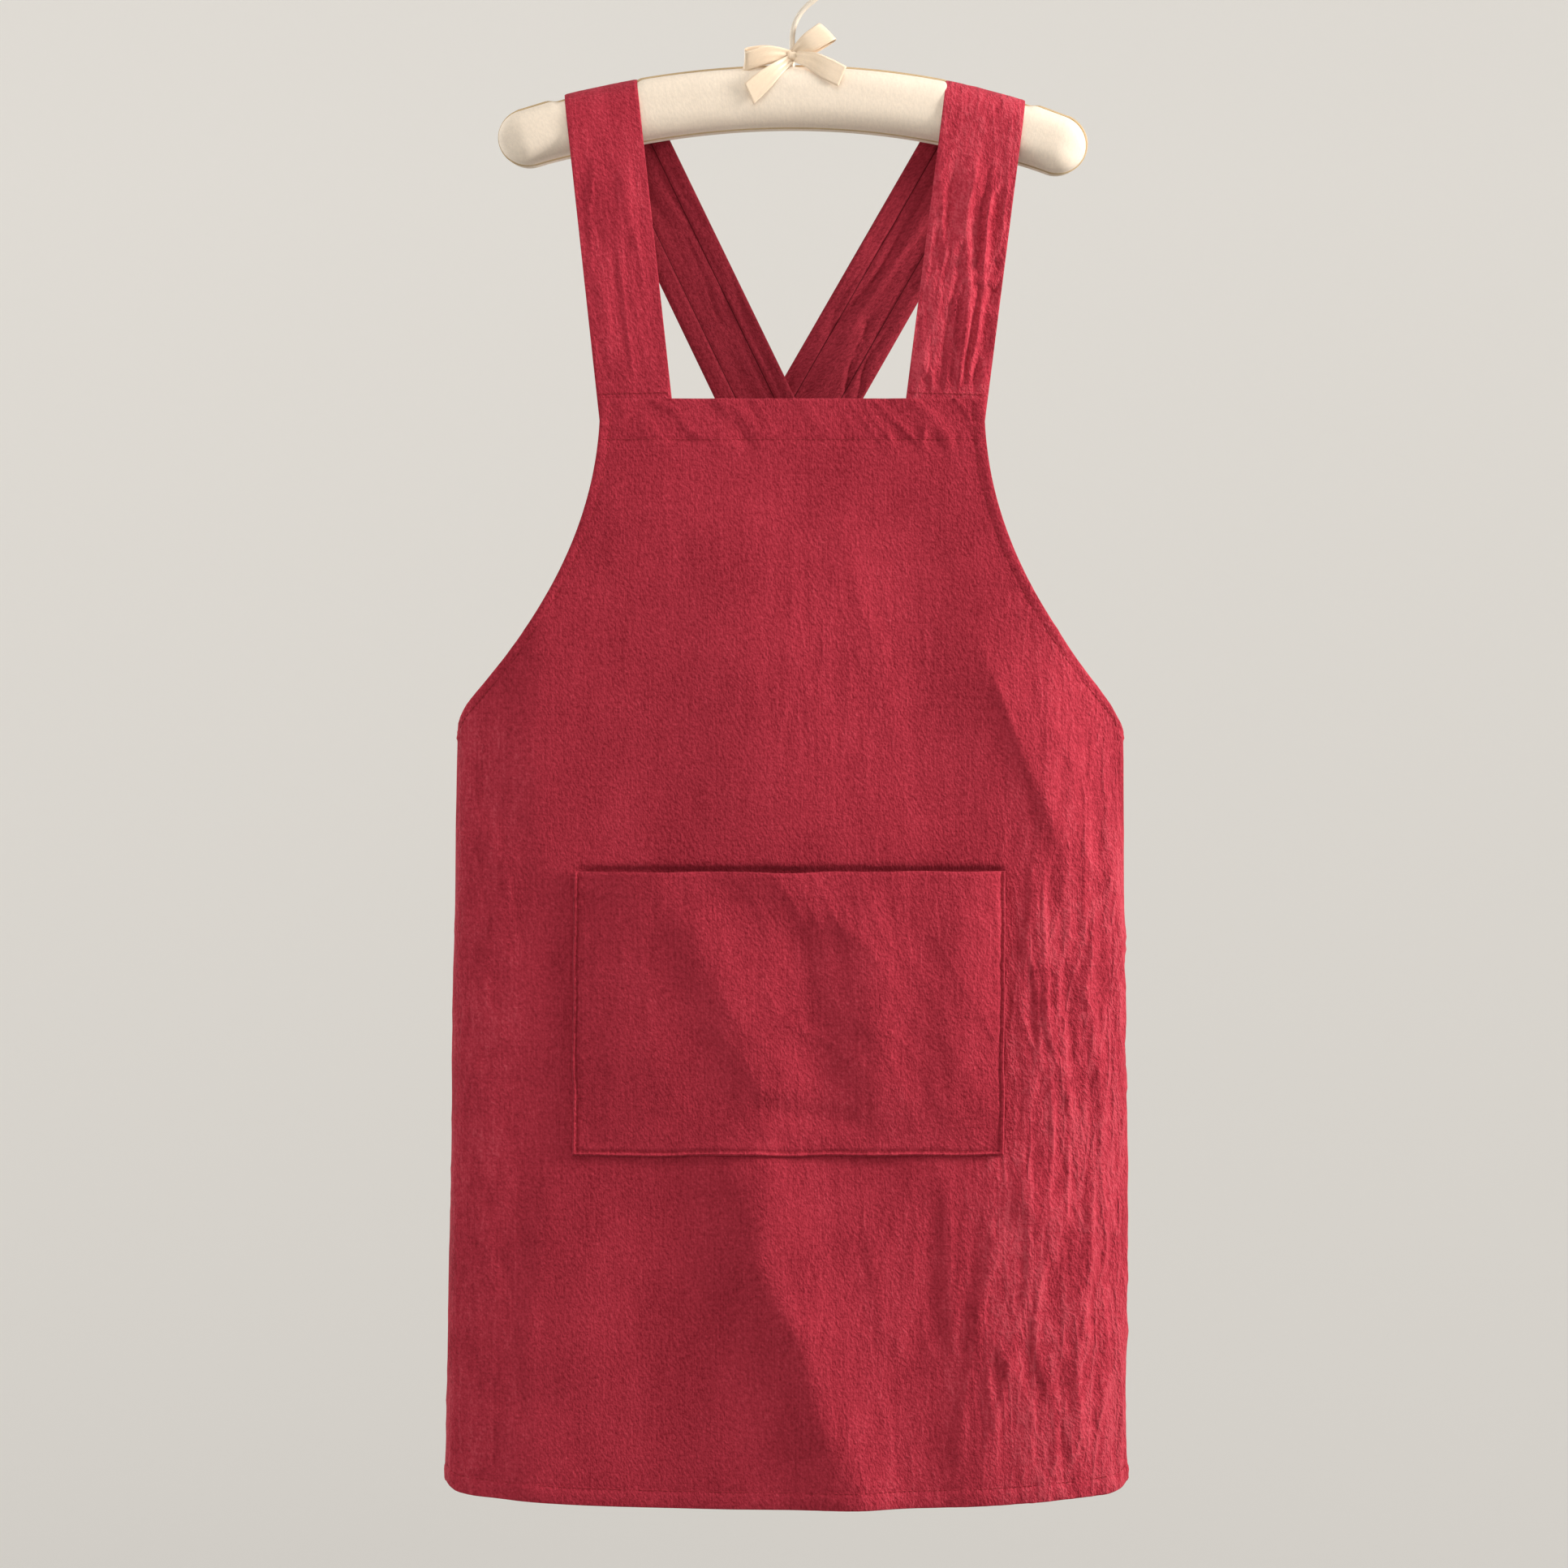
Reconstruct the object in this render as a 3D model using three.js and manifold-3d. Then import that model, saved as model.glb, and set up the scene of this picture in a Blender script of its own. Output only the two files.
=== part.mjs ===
// A cross-back kitchen apron that hangs on a padded hanger, in millimetres.
// +Z is up, the apron's front faces -Y, and the origin is the inside top of the hanger's hook.
// Depths are measured down from the origin and called drops; "across" runs along the cloth, from the
// middle of the front towards the wearer's left (+) or right (-), round the side folds to the back.
import * as THREE from "three";
import { mergeVertices } from "three/addons/utils/BufferGeometryUtils.js";
import Module from "manifold-3d";

// Hanger
const hangerLength = 380;
const hangerHeight = 42;
const hangerDepth = 32;
const hangerArcRadius = 525;
const hangerDrop = 98;
const pipingDiameter = 2;
const wireDiameter = 3.5;
const crookRadius = 21.25;
const crookEnd = 205;
const neckRadius = 29.6;
const hookSeatDepth = 16;
const ribbonWidth = 14.5;
const ribbonThickness = 1;

// Cloth
const clothThickness = 1.2;
const hemThickness = 2;
const hemWidth = 11;
const strapThickness = 1.6;
const gap = 0.3;

// Apron
const bibWidth = 244;
const bibDrop = 292;
const facingHeight = 26;
const sideDrop = 502;
const armholeCurve = 2.1;
const backDip = 8;
const skirtWidth = 425;
const skirtFlare = 10;
const hemDrop = 996;
const hemRise = 9.5;
const hemRiseCurve = 2.5;
const frontBow = 5;
const hemDeepening = 10;
const backOpening = 100;
const strapWidth = 50;
const strapTuck = 20;
const strapOverlap = 24;
const pocketWidth = 273;
const pocketDrop = 594;
const pocketHeight = 178;
const pocketBelly = 8;

// Each strap's width and places, as shares of the named size that they follow.
const straps = [
  { name: "strap_left", side: -1, width: 0.94, overHanger: 0.646, backInset: 0.25, crossingDip: 1 },
  { name: "strap_right", side: 1, width: 1.04, overHanger: 0.65, backInset: 0.6, crossingDip: 0 },
];

// The cloth's main folds, each a soft ridge (+) or hollow (-) along a line. Across is a share of half
// the skirt's width, down a share of the height from the bib's top to the hem, and width and height
// are shares of the skirt's width.
const folds = [
  { name: "skirt_ridge", fromAcross: -0.13, fromDown: 0.7, toAcross: 0.2, toDown: 1, width: 0.07, height: 0.012 },
  { name: "hip_ridge", fromAcross: 0.62, fromDown: 0.3, toAcross: 0.86, toDown: 0.55, width: 0.045, height: 0.008 },
  { name: "hem_ridge_outer", fromAcross: 0.85, fromDown: 0.7, toAcross: 0.9, toDown: 1, width: 0.04, height: 0.009 },
  { name: "hem_ridge_inner", fromAcross: 0.72, fromDown: 0.72, toAcross: 0.56, toDown: 1, width: 0.04, height: 0.006 },
  { name: "left_roll", fromAcross: -0.92, fromDown: 0.4, toAcross: -0.94, toDown: 1, width: 0.04, height: 0.006 },
  { name: "left_hollow", fromAcross: -0.78, fromDown: 0.45, toAcross: -0.76, toDown: 0.9, width: 0.05, height: -0.005 },
  { name: "bib_roll", fromAcross: -0.2, fromDown: 0.12, toAcross: -0.05, toDown: 0.36, width: 0.1, height: 0.007 },
  { name: "bib_hollow", fromAcross: 0.33, fromDown: 0.12, toAcross: 0.42, toDown: 0.36, width: 0.07, height: -0.006 },
  { name: "skirt_hollow_left", fromAcross: -0.42, fromDown: 0.75, toAcross: -0.35, toDown: 1, width: 0.1, height: -0.007 },
  { name: "skirt_hollow_right", fromAcross: 0.42, fromDown: 0.75, toAcross: 0.37, toDown: 1, width: 0.05, height: -0.005 },
  { name: "back_roll_left", fromAcross: -1.5, fromDown: 0.5, toAcross: -1.45, toDown: 1, width: 0.07, height: 0.012 },
  { name: "back_roll_right", fromAcross: 1.5, fromDown: 0.5, toAcross: 1.55, toDown: 1, width: 0.07, height: 0.01 },
];

// How many flat steps each stretch of a piece is made of.
const bibRows = 8;
const upperRows = 4;
const pocketRows = 7;
const lowerRows = 8;
const pocketColumns = 12;
const flankColumns = 3;
const foldColumns = 3;
const backColumns = 5;
const strapColumns = 4;
const strapWrapSteps = 12;
const frontLegSteps = 8;
const backLegSteps = 14;
const padSides = 20;
const padSteps = 24;
const capSteps = 5;

const wasm = await Module();
wasm.setup();

const radians = THREE.MathUtils.degToRad;
const mix = THREE.MathUtils.lerp;
const smooth = (x, from, to) => THREE.MathUtils.smoothstep(x, from, to);
const vec = (x, y, z) => new THREE.Vector3(x, y, z);

// Numbers from one value to another in equal steps, both ends included.
function steps(from, to, count) {
  return Array.from({ length: count + 1 }, (_, i) => mix(from, to, i / count));
}

// One list of numbers through several stops, with a number of equal steps between each two.
function stepsThrough(stops, counts) {
  return counts.reduce((list, count, i) => [...list, ...steps(stops[i], stops[i + 1], count).slice(1)], [stops[0]]);
}

function geometryFrom(points, faces) {
  const geometry = new THREE.BufferGeometry();
  geometry.setAttribute("position", new THREE.Float32BufferAttribute(points.flatMap((p) => p.toArray()), 3));
  geometry.setIndex(faces.flat());
  geometry.computeVertexNormals();
  return geometry;
}

// A wall round a surface of four-sided cells: each corner has a point, an outward normal and half
// the wall's thickness there. Cells turn anticlockwise seen from outside.
function wallFrom(corners, cells) {
  const count = corners.length;
  const outer = corners.map((c) => c.point.clone().addScaledVector(c.normal, c.half));
  const inner = corners.map((c) => c.point.clone().addScaledVector(c.normal, -c.half));
  const faces = [];
  const edges = new Map();
  for (const [a, b, c, d] of cells) {
    faces.push([a, b, c], [a, c, d]);
    faces.push([a + count, c + count, b + count], [a + count, d + count, c + count]);
    for (const [from, to] of [[a, b], [b, c], [c, d], [d, a]]) {
      if (!edges.delete(`${to},${from}`)) edges.set(`${from},${to}`, [from, to]);
    }
  }
  for (const [from, to] of edges.values()) {
    faces.push([to, from, from + count], [to, from + count, to + count]);
  }
  return geometryFrom([...outer, ...inner], faces);
}

// The cells of a plain grid whose corners are listed row by row, rows running down or along.
function gridCells(columns, rows, flip) {
  const cells = [];
  for (let row = 0; row < rows; row += 1) {
    for (let column = 0; column < columns; column += 1) {
      const a = row * (columns + 1) + column;
      const b = a + columns + 1;
      cells.push(flip ? [a, a + 1, b + 1, b] : [a, b, b + 1, a + 1]);
    }
  }
  return cells;
}

// A round or oval bar through rings of equal count, closed at both ends by a fan.
function barFrom(rings) {
  const sides = rings[0].length;
  const points = rings.flat();
  const faces = [];
  for (let ring = 0; ring < rings.length - 1; ring += 1) {
    for (let side = 0; side < sides; side += 1) {
      const next = (side + 1) % sides;
      const a = ring * sides;
      const b = a + sides;
      faces.push([a + side, a + next, b + next], [a + side, b + next, b + side]);
    }
  }
  for (const [ring, turn] of [[0, true], [rings.length - 1, false]]) {
    const centre = points.length;
    points.push(rings[ring].reduce((sum, p) => sum.add(p), vec(0, 0, 0)).divideScalar(sides));
    for (let side = 0; side < sides; side += 1) {
      const a = ring * sides + side;
      const b = ring * sides + ((side + 1) % sides);
      faces.push(turn ? [centre, b, a] : [centre, a, b]);
    }
  }
  return geometryFrom(points, faces);
}

// Rings round a path that lies in the XZ plane. Each stop has a point, the path's side direction in
// that plane and a radius.
function wireRings(stops, sides) {
  return stops.map(({ point, sideways, radius }) =>
    steps(0, 2 * Math.PI, sides).slice(1).map((turn) =>
      point.clone().addScaledVector(sideways, radius * Math.cos(turn)).add(vec(0, radius * Math.sin(turn), 0))));
}

function solidOf(geometry) {
  const bare = geometry.clone();
  bare.deleteAttribute("normal");
  bare.deleteAttribute("uv");
  const merged = mergeVertices(bare, 1e-4);
  return new wasm.Manifold(new wasm.Mesh({
    numProp: 3,
    vertProperties: merged.attributes.position.array,
    triVerts: new Uint32Array(merged.index.array),
  }));
}

function geometryOf(solid) {
  const mesh = solid.getMesh();
  const geometry = new THREE.BufferGeometry();
  geometry.setAttribute("position", new THREE.BufferAttribute(mesh.vertProperties, 3));
  geometry.setIndex(new THREE.BufferAttribute(mesh.triVerts, 1));
  geometry.computeVertexNormals();
  return geometry;
}

// Places that several pieces share, worked out from the driving sizes
const halfHeight = hangerHeight / 2;
const halfDepth = hangerDepth / 2;
const padHalfHeight = halfHeight - pipingDiameter - gap;
const strapDepth = halfDepth + gap + strapThickness / 2;
const clothOverStrap = strapThickness / 2 + gap + clothThickness / 2;
const bibDepth = strapDepth + clothOverStrap;
const backDepth = bibDepth - 2 * gap - clothThickness;
const strapEndDepth = backDepth - (strapThickness / 2 + gap + hemThickness / 2);
const apronHeight = hemDrop - bibDrop;

// The hanger's centreline is an arc; these give its height and slope at a place across.
const hangerZ = (x) => -hangerDrop - hangerArcRadius + Math.sqrt(hangerArcRadius ** 2 - x ** 2);
const hangerSlope = (x) => Math.asin(x / hangerArcRadius);

// The apron's cloth

// Half the distance between the side folds, and the folds' radius, at a drop.
function sectionAt(drop) {
  const down = Math.max(0, (drop - sideDrop) / (hemDrop - sideDrop));
  const radius = (bibDepth + backDepth + hemDeepening * smooth(down, 0, 1)) / 2;
  const flat = (skirtWidth + skirtFlare * down) / 2 - radius;
  return { radius, flat, middle: (backDepth - bibDepth) / 2 };
}

// The cloth's middle layer before its folds: flat in front, round at each side, and flat behind.
function basePoint(across, drop) {
  const { radius, flat, middle } = sectionAt(drop);
  const side = Math.sign(across);
  const out = Math.abs(across);
  const bow = frontBow * smooth(drop, bibDrop + facingHeight, sideDrop);
  if (out <= flat) return vec(across, middle - radius - bow * (1 - (across / flat) ** 2), -drop);
  const turn = (out - flat) / radius;
  if (turn <= Math.PI) {
    return vec(side * (flat + radius * Math.sin(turn)), middle - radius * Math.cos(turn), -drop);
  }
  return vec(side * (flat - (out - flat - Math.PI * radius)), middle + radius, -drop);
}

function normalOf(pointAt, across, drop) {
  const step = 0.5;
  const along = pointAt(across + step, drop).sub(pointAt(across - step, drop));
  const up = pointAt(across, drop - step).sub(pointAt(across, drop + step));
  return along.cross(up).normalize();
}

// How far the folds lift the cloth. They fade out at the bands that the straps are sewn into.
function foldHeight(across, drop) {
  const calm = smooth(drop, bibDrop + facingHeight, bibDrop + 3 * facingHeight)
    * (Math.abs(across) > skirtWidth / 2 ? smooth(drop, sideDrop + 2 * strapOverlap, sideDrop + 5 * strapOverlap) : 1);
  const here = new THREE.Vector2(across, drop);
  const lift = folds.reduce((sum, fold) => {
    const place = (shareAcross, shareDown) =>
      new THREE.Vector2(shareAcross * skirtWidth / 2, bibDrop + shareDown * apronHeight);
    const from = place(fold.fromAcross, fold.fromDown);
    const line = place(fold.toAcross, fold.toDown).sub(from);
    const share = THREE.MathUtils.clamp(here.clone().sub(from).dot(line) / line.lengthSq(), 0, 1);
    const away = here.distanceTo(from.addScaledVector(line, share)) / (fold.width * skirtWidth);
    return sum + fold.height * skirtWidth * Math.exp(-away * away);
  }, 0);
  return calm * lift;
}

function clothPoint(across, drop) {
  const normal = normalOf(basePoint, across, drop);
  return basePoint(across, drop).addScaledVector(normal, foldHeight(across, drop));
}

function clothCorner(across, drop, offset, half) {
  const normal = normalOf(clothPoint, across, drop);
  return { point: clothPoint(across, drop).addScaledVector(normal, offset), normal, half };
}

// The armhole's edge: half the cloth's width at a drop, from the bib's corner to the side fold.
const sideAcross = sectionAt(sideDrop).flat + sectionAt(sideDrop).radius * Math.PI / 2;
function armholeAcross(drop) {
  const share = (drop - bibDrop) / (sideDrop - bibDrop);
  return mix(bibWidth / 2, sideAcross, share ** armholeCurve);
}

const foldArc = sectionAt(sideDrop).radius * Math.PI / 2;
const freeEdgeAcross = sideAcross + foldArc + sectionAt(sideDrop).flat - backOpening / 2;
const topDrop = (across) => sideDrop + backDip * smooth(Math.abs(across), sideAcross, sideAcross + foldArc);
const bottomDrop = (across) =>
  hemDrop - hemRise * Math.min(1, Math.abs(across) / sideAcross) ** hemRiseCurve;

// Column places from the middle to the free back edge, with one at the pocket's edge and two at the hem
const rightColumns = stepsThrough(
  [0, pocketWidth / 2, sideAcross - foldArc, sideAcross, sideAcross + foldArc,
    freeEdgeAcross - hemWidth - clothThickness, freeEdgeAcross - hemWidth, freeEdgeAcross],
  [pocketColumns / 2, flankColumns, foldColumns, foldColumns, backColumns, 1, 1],
);
const allColumns = [...rightColumns.slice(1).reverse().map((across) => -across), ...rightColumns];
const bibColumns = allColumns.filter((across) => Math.abs(across) <= sideAcross + 1e-6);
const pocketPlaces = allColumns.filter((across) => Math.abs(across) <= pocketWidth / 2 + 1e-6);
const skirtDrops = stepsThrough(
  [sideDrop, pocketDrop, pocketDrop + pocketHeight, hemDrop - hemWidth - clothThickness, hemDrop - hemWidth, hemDrop],
  [upperRows, pocketRows, lowerRows, 1, 1],
);

// A row of the skirt follows the top edge above and the hem's rise below.
function skirtDrop(across, drop) {
  const nearTop = THREE.MathUtils.clamp((pocketDrop - drop) / (pocketDrop - sideDrop), 0, 1);
  const nearHem = smooth(drop, pocketDrop + pocketHeight, hemDrop);
  return drop + nearTop * (topDrop(across) - sideDrop) + nearHem * (bottomDrop(across) - hemDrop);
}

function apronBody() {
  const corners = [];
  const cells = [];
  const halfWall = clothThickness / 2;
  const bibDrops = [bibDrop, ...steps(bibDrop + facingHeight, sideDrop, bibRows)];
  for (const drop of bibDrops.slice(0, -1)) {
    for (const column of bibColumns) {
      const across = column / sideAcross * armholeAcross(drop);
      corners.push(clothCorner(across, drop, 0, halfWall));
    }
  }
  const firstSkirtCorner = corners.length;
  for (const drop of skirtDrops) {
    for (const across of allColumns) {
      const inHem = drop > hemDrop - hemWidth - gap || Math.abs(across) > freeEdgeAcross - hemWidth - gap;
      corners.push(clothCorner(across, skirtDrop(across, drop), 0, inHem ? hemThickness / 2 : halfWall));
    }
  }
  const bibCount = bibColumns.length;
  const skirtCount = allColumns.length;
  const firstShared = (skirtCount - bibCount) / 2;
  const bibCorner = (row, column) =>
    (row < bibDrops.length - 1 ? row * bibCount + column : firstSkirtCorner + firstShared + column);
  for (let row = 0; row < bibDrops.length - 1; row += 1) {
    for (let column = 0; column < bibCount - 1; column += 1) {
      cells.push([bibCorner(row, column), bibCorner(row + 1, column), bibCorner(row + 1, column + 1), bibCorner(row, column + 1)]);
    }
  }
  for (const cell of gridCells(skirtCount - 1, skirtDrops.length - 1, false)) {
    cells.push(cell.map((corner) => corner + firstSkirtCorner));
  }
  return wallFrom(corners, cells);
}

// The turned band behind the bib's top edge; the straps' ends are sewn in between the two.
function bibFacing() {
  const offset = -(strapThickness + 2 * gap + clothThickness);
  const corners = [bibDrop, bibDrop + facingHeight].flatMap((drop) =>
    bibColumns.map((column) => {
      const across = column / sideAcross * armholeAcross(drop);
      return clothCorner(across, drop, offset, clothThickness / 2);
    }));
  return wallFrom(corners, gridCells(bibColumns.length - 1, 1, false));
}

// The pocket is sewn down at its sides and its foot, and stands off the front in the middle.
function pocket() {
  const drops = skirtDrops.filter((drop) => drop >= pocketDrop - 1e-6 && drop <= pocketDrop + pocketHeight + 1e-6);
  const corners = drops.flatMap((drop) => pocketPlaces.map((across) => {
    const sideways = Math.abs(across) / (pocketWidth / 2);
    const down = (drop - pocketDrop) / pocketHeight;
    const belly = pocketBelly * (1 - sideways ** 2.5) * (1 - down ** 3);
    return clothCorner(across, skirtDrop(across, drop), clothThickness + gap + belly, clothThickness / 2);
  }));
  return wallFrom(corners, gridCells(pocketPlaces.length - 1, drops.length - 1, false));
}

// A strap runs up from the bib, over the hanger and down behind to the back panel. Seen from the
// front each of its threads is straight on both sides of the hanger.
function strap({ side, width, overHanger, backInset, crossingDip }) {
  const wide = width * strapWidth;
  const overX = side * overHanger * hangerLength / 2;
  const slope = hangerSlope(overX);
  const bibX = side * (bibWidth - wide) / 2;
  const endDrop = sideDrop + backDip + strapOverlap;
  const endInset = backOpening / 2 + backInset * strapWidth;
  const lean = Math.atan((endInset + wide / 2 + Math.abs(overX)) / (endDrop - hangerDrop));
  const endHalf = wide / 2 / Math.cos(lean);
  const endX = -side * (endInset + endHalf);
  const wrapHeight = halfHeight + gap + strapThickness / 2;
  const top = (x) => hangerZ(x) + wrapHeight / Math.cos(hangerSlope(x));
  const dip = crossingDip * (strapThickness + 5 * gap);

  const threads = steps(-wide / 2, wide / 2, strapColumns).map((q) => {
    const overAt = overX + q * Math.cos(slope);
    const crest = vec(overAt, 0, top(overAt));
    const foot = vec(bibX + q, 0, -(bibDrop + strapTuck));
    const tail = vec(endX + q / (wide / 2) * endHalf, 0, -endDrop);
    // The share of the way from the crest to an end where the thread is as high on the hanger as asked.
    const shareAt = (end, rise) => {
      let share = 0;
      for (let round = 0; round < 20; round += 1) {
        const at = crest.clone().lerp(end, share);
        const high = (at.z - hangerZ(at.x)) * Math.cos(hangerSlope(at.x));
        share += (high - rise) / (crest.z - end.z);
      }
      return share;
    };
    const onHanger = (end, turn, face) => {
      const point = crest.clone().lerp(end, shareAt(end, wrapHeight * Math.sin(turn)));
      return point.setY(face * strapDepth * Math.cos(turn));
    };
    const quarter = steps(0, Math.PI / 2, strapWrapSteps / 2);
    const frontShare = shareAt(foot, 0);
    const backShare = shareAt(tail, 0);
    const frontLeg = steps(1, frontShare, frontLegSteps).slice(0, -1)
      .map((share) => crest.clone().lerp(foot, share).setY(-strapDepth));
    const backLeg = steps(backShare, 1, backLegSteps).slice(1).map((share) => {
      const point = crest.clone().lerp(tail, share);
      const down = (share - backShare) / (1 - backShare);
      const sewn = smooth(-point.z, sideDrop - 2 * strapOverlap, sideDrop);
      return point.setY(mix(strapDepth, strapEndDepth, sewn) - dip * Math.sin(Math.PI * down) ** 2);
    });
    return [
      ...frontLeg,
      ...quarter.map((turn) => onHanger(foot, turn, -1)),
      ...quarter.slice(0, -1).reverse().map((turn) => onHanger(tail, turn, 1)),
      ...backLeg,
    ];
  });

  const count = threads[0].length;
  const corners = [];
  for (let stop = 0; stop < count; stop += 1) {
    for (let thread = 0; thread <= strapColumns; thread += 1) {
      const right = threads[Math.min(thread + 1, strapColumns)][stop];
      const left = threads[Math.max(thread - 1, 0)][stop];
      const ahead = threads[thread][Math.min(stop + 1, count - 1)];
      const behind = threads[thread][Math.max(stop - 1, 0)];
      const normal = right.clone().sub(left).cross(ahead.clone().sub(behind)).normalize();
      corners.push({ point: threads[thread][stop], normal, half: strapThickness / 2 });
    }
  }
  return wallFrom(corners, gridCells(strapColumns, count - 1, true));
}

// The hanger

// The middle of each round end, seen from the front, as an angle from the arc's top.
const capAngle = Math.asin((hangerLength - hangerHeight) / 2 / hangerArcRadius);
function arcPoint(angle, offset) {
  const radius = hangerArcRadius + offset;
  return vec(radius * Math.sin(angle), 0, -hangerDrop - hangerArcRadius + radius * Math.cos(angle));
}
const outward = (angle) => vec(Math.sin(angle), 0, Math.cos(angle));

function padRing(angle, share) {
  return steps(0, 2 * Math.PI, padSides).slice(1).map((turn) =>
    arcPoint(angle, padHalfHeight * share * Math.sin(turn)).setY(halfDepth * share * Math.cos(turn)));
}

// The padded bar, with a blind seat for the hook's foot.
function hangerPad() {
  const capReach = padHalfHeight / hangerArcRadius;
  const turns = steps(0, Math.PI / 2, capSteps).slice(1, -1);
  const cap = (side) => turns.map((turn) =>
    padRing(side * (capAngle + capReach * Math.sin(turn)), Math.cos(turn)));
  const tip = (side) => padRing(side * (capAngle + capReach), 0.12);
  const bar = steps(-capAngle, capAngle, padSteps).map((angle) => padRing(angle, 1));
  const rings = [tip(-1), ...cap(-1).reverse(), ...bar, ...cap(1), tip(1)];
  const pad = solidOf(barFrom(rings));
  const seatRadius = wireDiameter / 2 + gap;
  const seat = new THREE.CylinderGeometry(seatRadius, seatRadius, 2 * hookSeatDepth + 2 * gap, 10);
  seat.rotateX(Math.PI / 2).translate(0, 0, -hangerDrop + padHalfHeight);
  return geometryOf(pad.subtract(solidOf(seat)));
}

// Piping all round the pad's seam, open at the top where the hook stands.
function hangerPiping() {
  const radius = pipingDiameter / 2;
  const offset = halfHeight - radius;
  const start = (wireDiameter / 2 + gap + radius) / (hangerArcRadius + offset);
  const stop = (point, sideways) => ({ point, sideways, radius });
  const along = (from, to, side, count) => steps(from, to, count).map((angle) =>
    stop(arcPoint(angle, side * offset), outward(angle).multiplyScalar(side)));
  const round = (side) => steps(0, 180, 15).slice(1, -1).map((turn) => {
    const sideways = outward(side * (capAngle + radians(turn)));
    return stop(arcPoint(side * capAngle, 0).addScaledVector(sideways, offset), sideways);
  });
  const path = [
    ...along(start, capAngle, 1, 9), ...round(1),
    ...along(capAngle, -capAngle, -1, 18), ...round(-1).reverse(),
    ...along(-capAngle, -start, 1, 9),
  ];
  return barFrom(wireRings(path.reverse(), 6));
}

// A plain wire hook: a straight stem, a neck that leans out, and the round crook above the stem.
function hangerHook() {
  const radius = wireDiameter / 2;
  const crookZ = -(crookRadius - radius);
  const neckTurn = Math.acos(neckRadius / (crookRadius + neckRadius));
  const neckZ = crookZ - (crookRadius + neckRadius) * Math.sin(neckTurn);
  const footZ = -hangerDrop + padHalfHeight - hookSeatDepth + gap;
  const stem = [footZ, (footZ + neckZ) / 2].map((z) => ({ point: vec(0, 0, z), sideways: vec(1, 0, 0), radius }));
  const neck = steps(0, neckTurn, 6).map((turn) => ({
    point: vec(neckRadius * (1 - Math.cos(turn)), 0, neckZ + neckRadius * Math.sin(turn)),
    sideways: vec(Math.cos(turn), 0, -Math.sin(turn)),
    radius,
  }));
  const crook = steps(-neckTurn, radians(crookEnd), 20).slice(1).map((turn) => ({
    point: vec(crookRadius * Math.cos(turn), 0, crookZ + crookRadius * Math.sin(turn)),
    sideways: vec(Math.cos(turn), 0, Math.sin(turn)),
    radius,
  }));
  const last = crook[crook.length - 1];
  const onward = vec(-last.sideways.z, 0, last.sideways.x);
  const tip = [0.5, 0.85].map((share) => ({
    point: last.point.clone().addScaledVector(onward, radius * share),
    sideways: last.sideways,
    radius: radius * Math.sqrt(1 - share * share),
  }));
  return barFrom(wireRings([...stem, ...neck, ...crook, ...tip], 10));
}

// One length of ribbon through a few stops, each with a place and the ribbon's direction across;
// its width there is a share of the ribbon's own.
function ribbon(stops) {
  const sides = [-0.5, 0.5];
  const points = stops.map((stop) => sides.map((end) =>
    vec(...stop.at).addScaledVector(vec(...stop.across).normalize(), end * stop.wide * ribbonWidth)));
  const corners = points.flatMap((pair, i) => pair.map((point) => {
    const ahead = points[Math.min(i + 1, points.length - 1)][0];
    const behind = points[Math.max(i - 1, 0)][0];
    const normal = pair[1].clone().sub(pair[0]).cross(ahead.clone().sub(behind)).normalize();
    return { point, normal, half: ribbonThickness / 2 };
  }));
  return solidOf(wallFrom(corners, gridCells(1, points.length - 1, true)));
}

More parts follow.
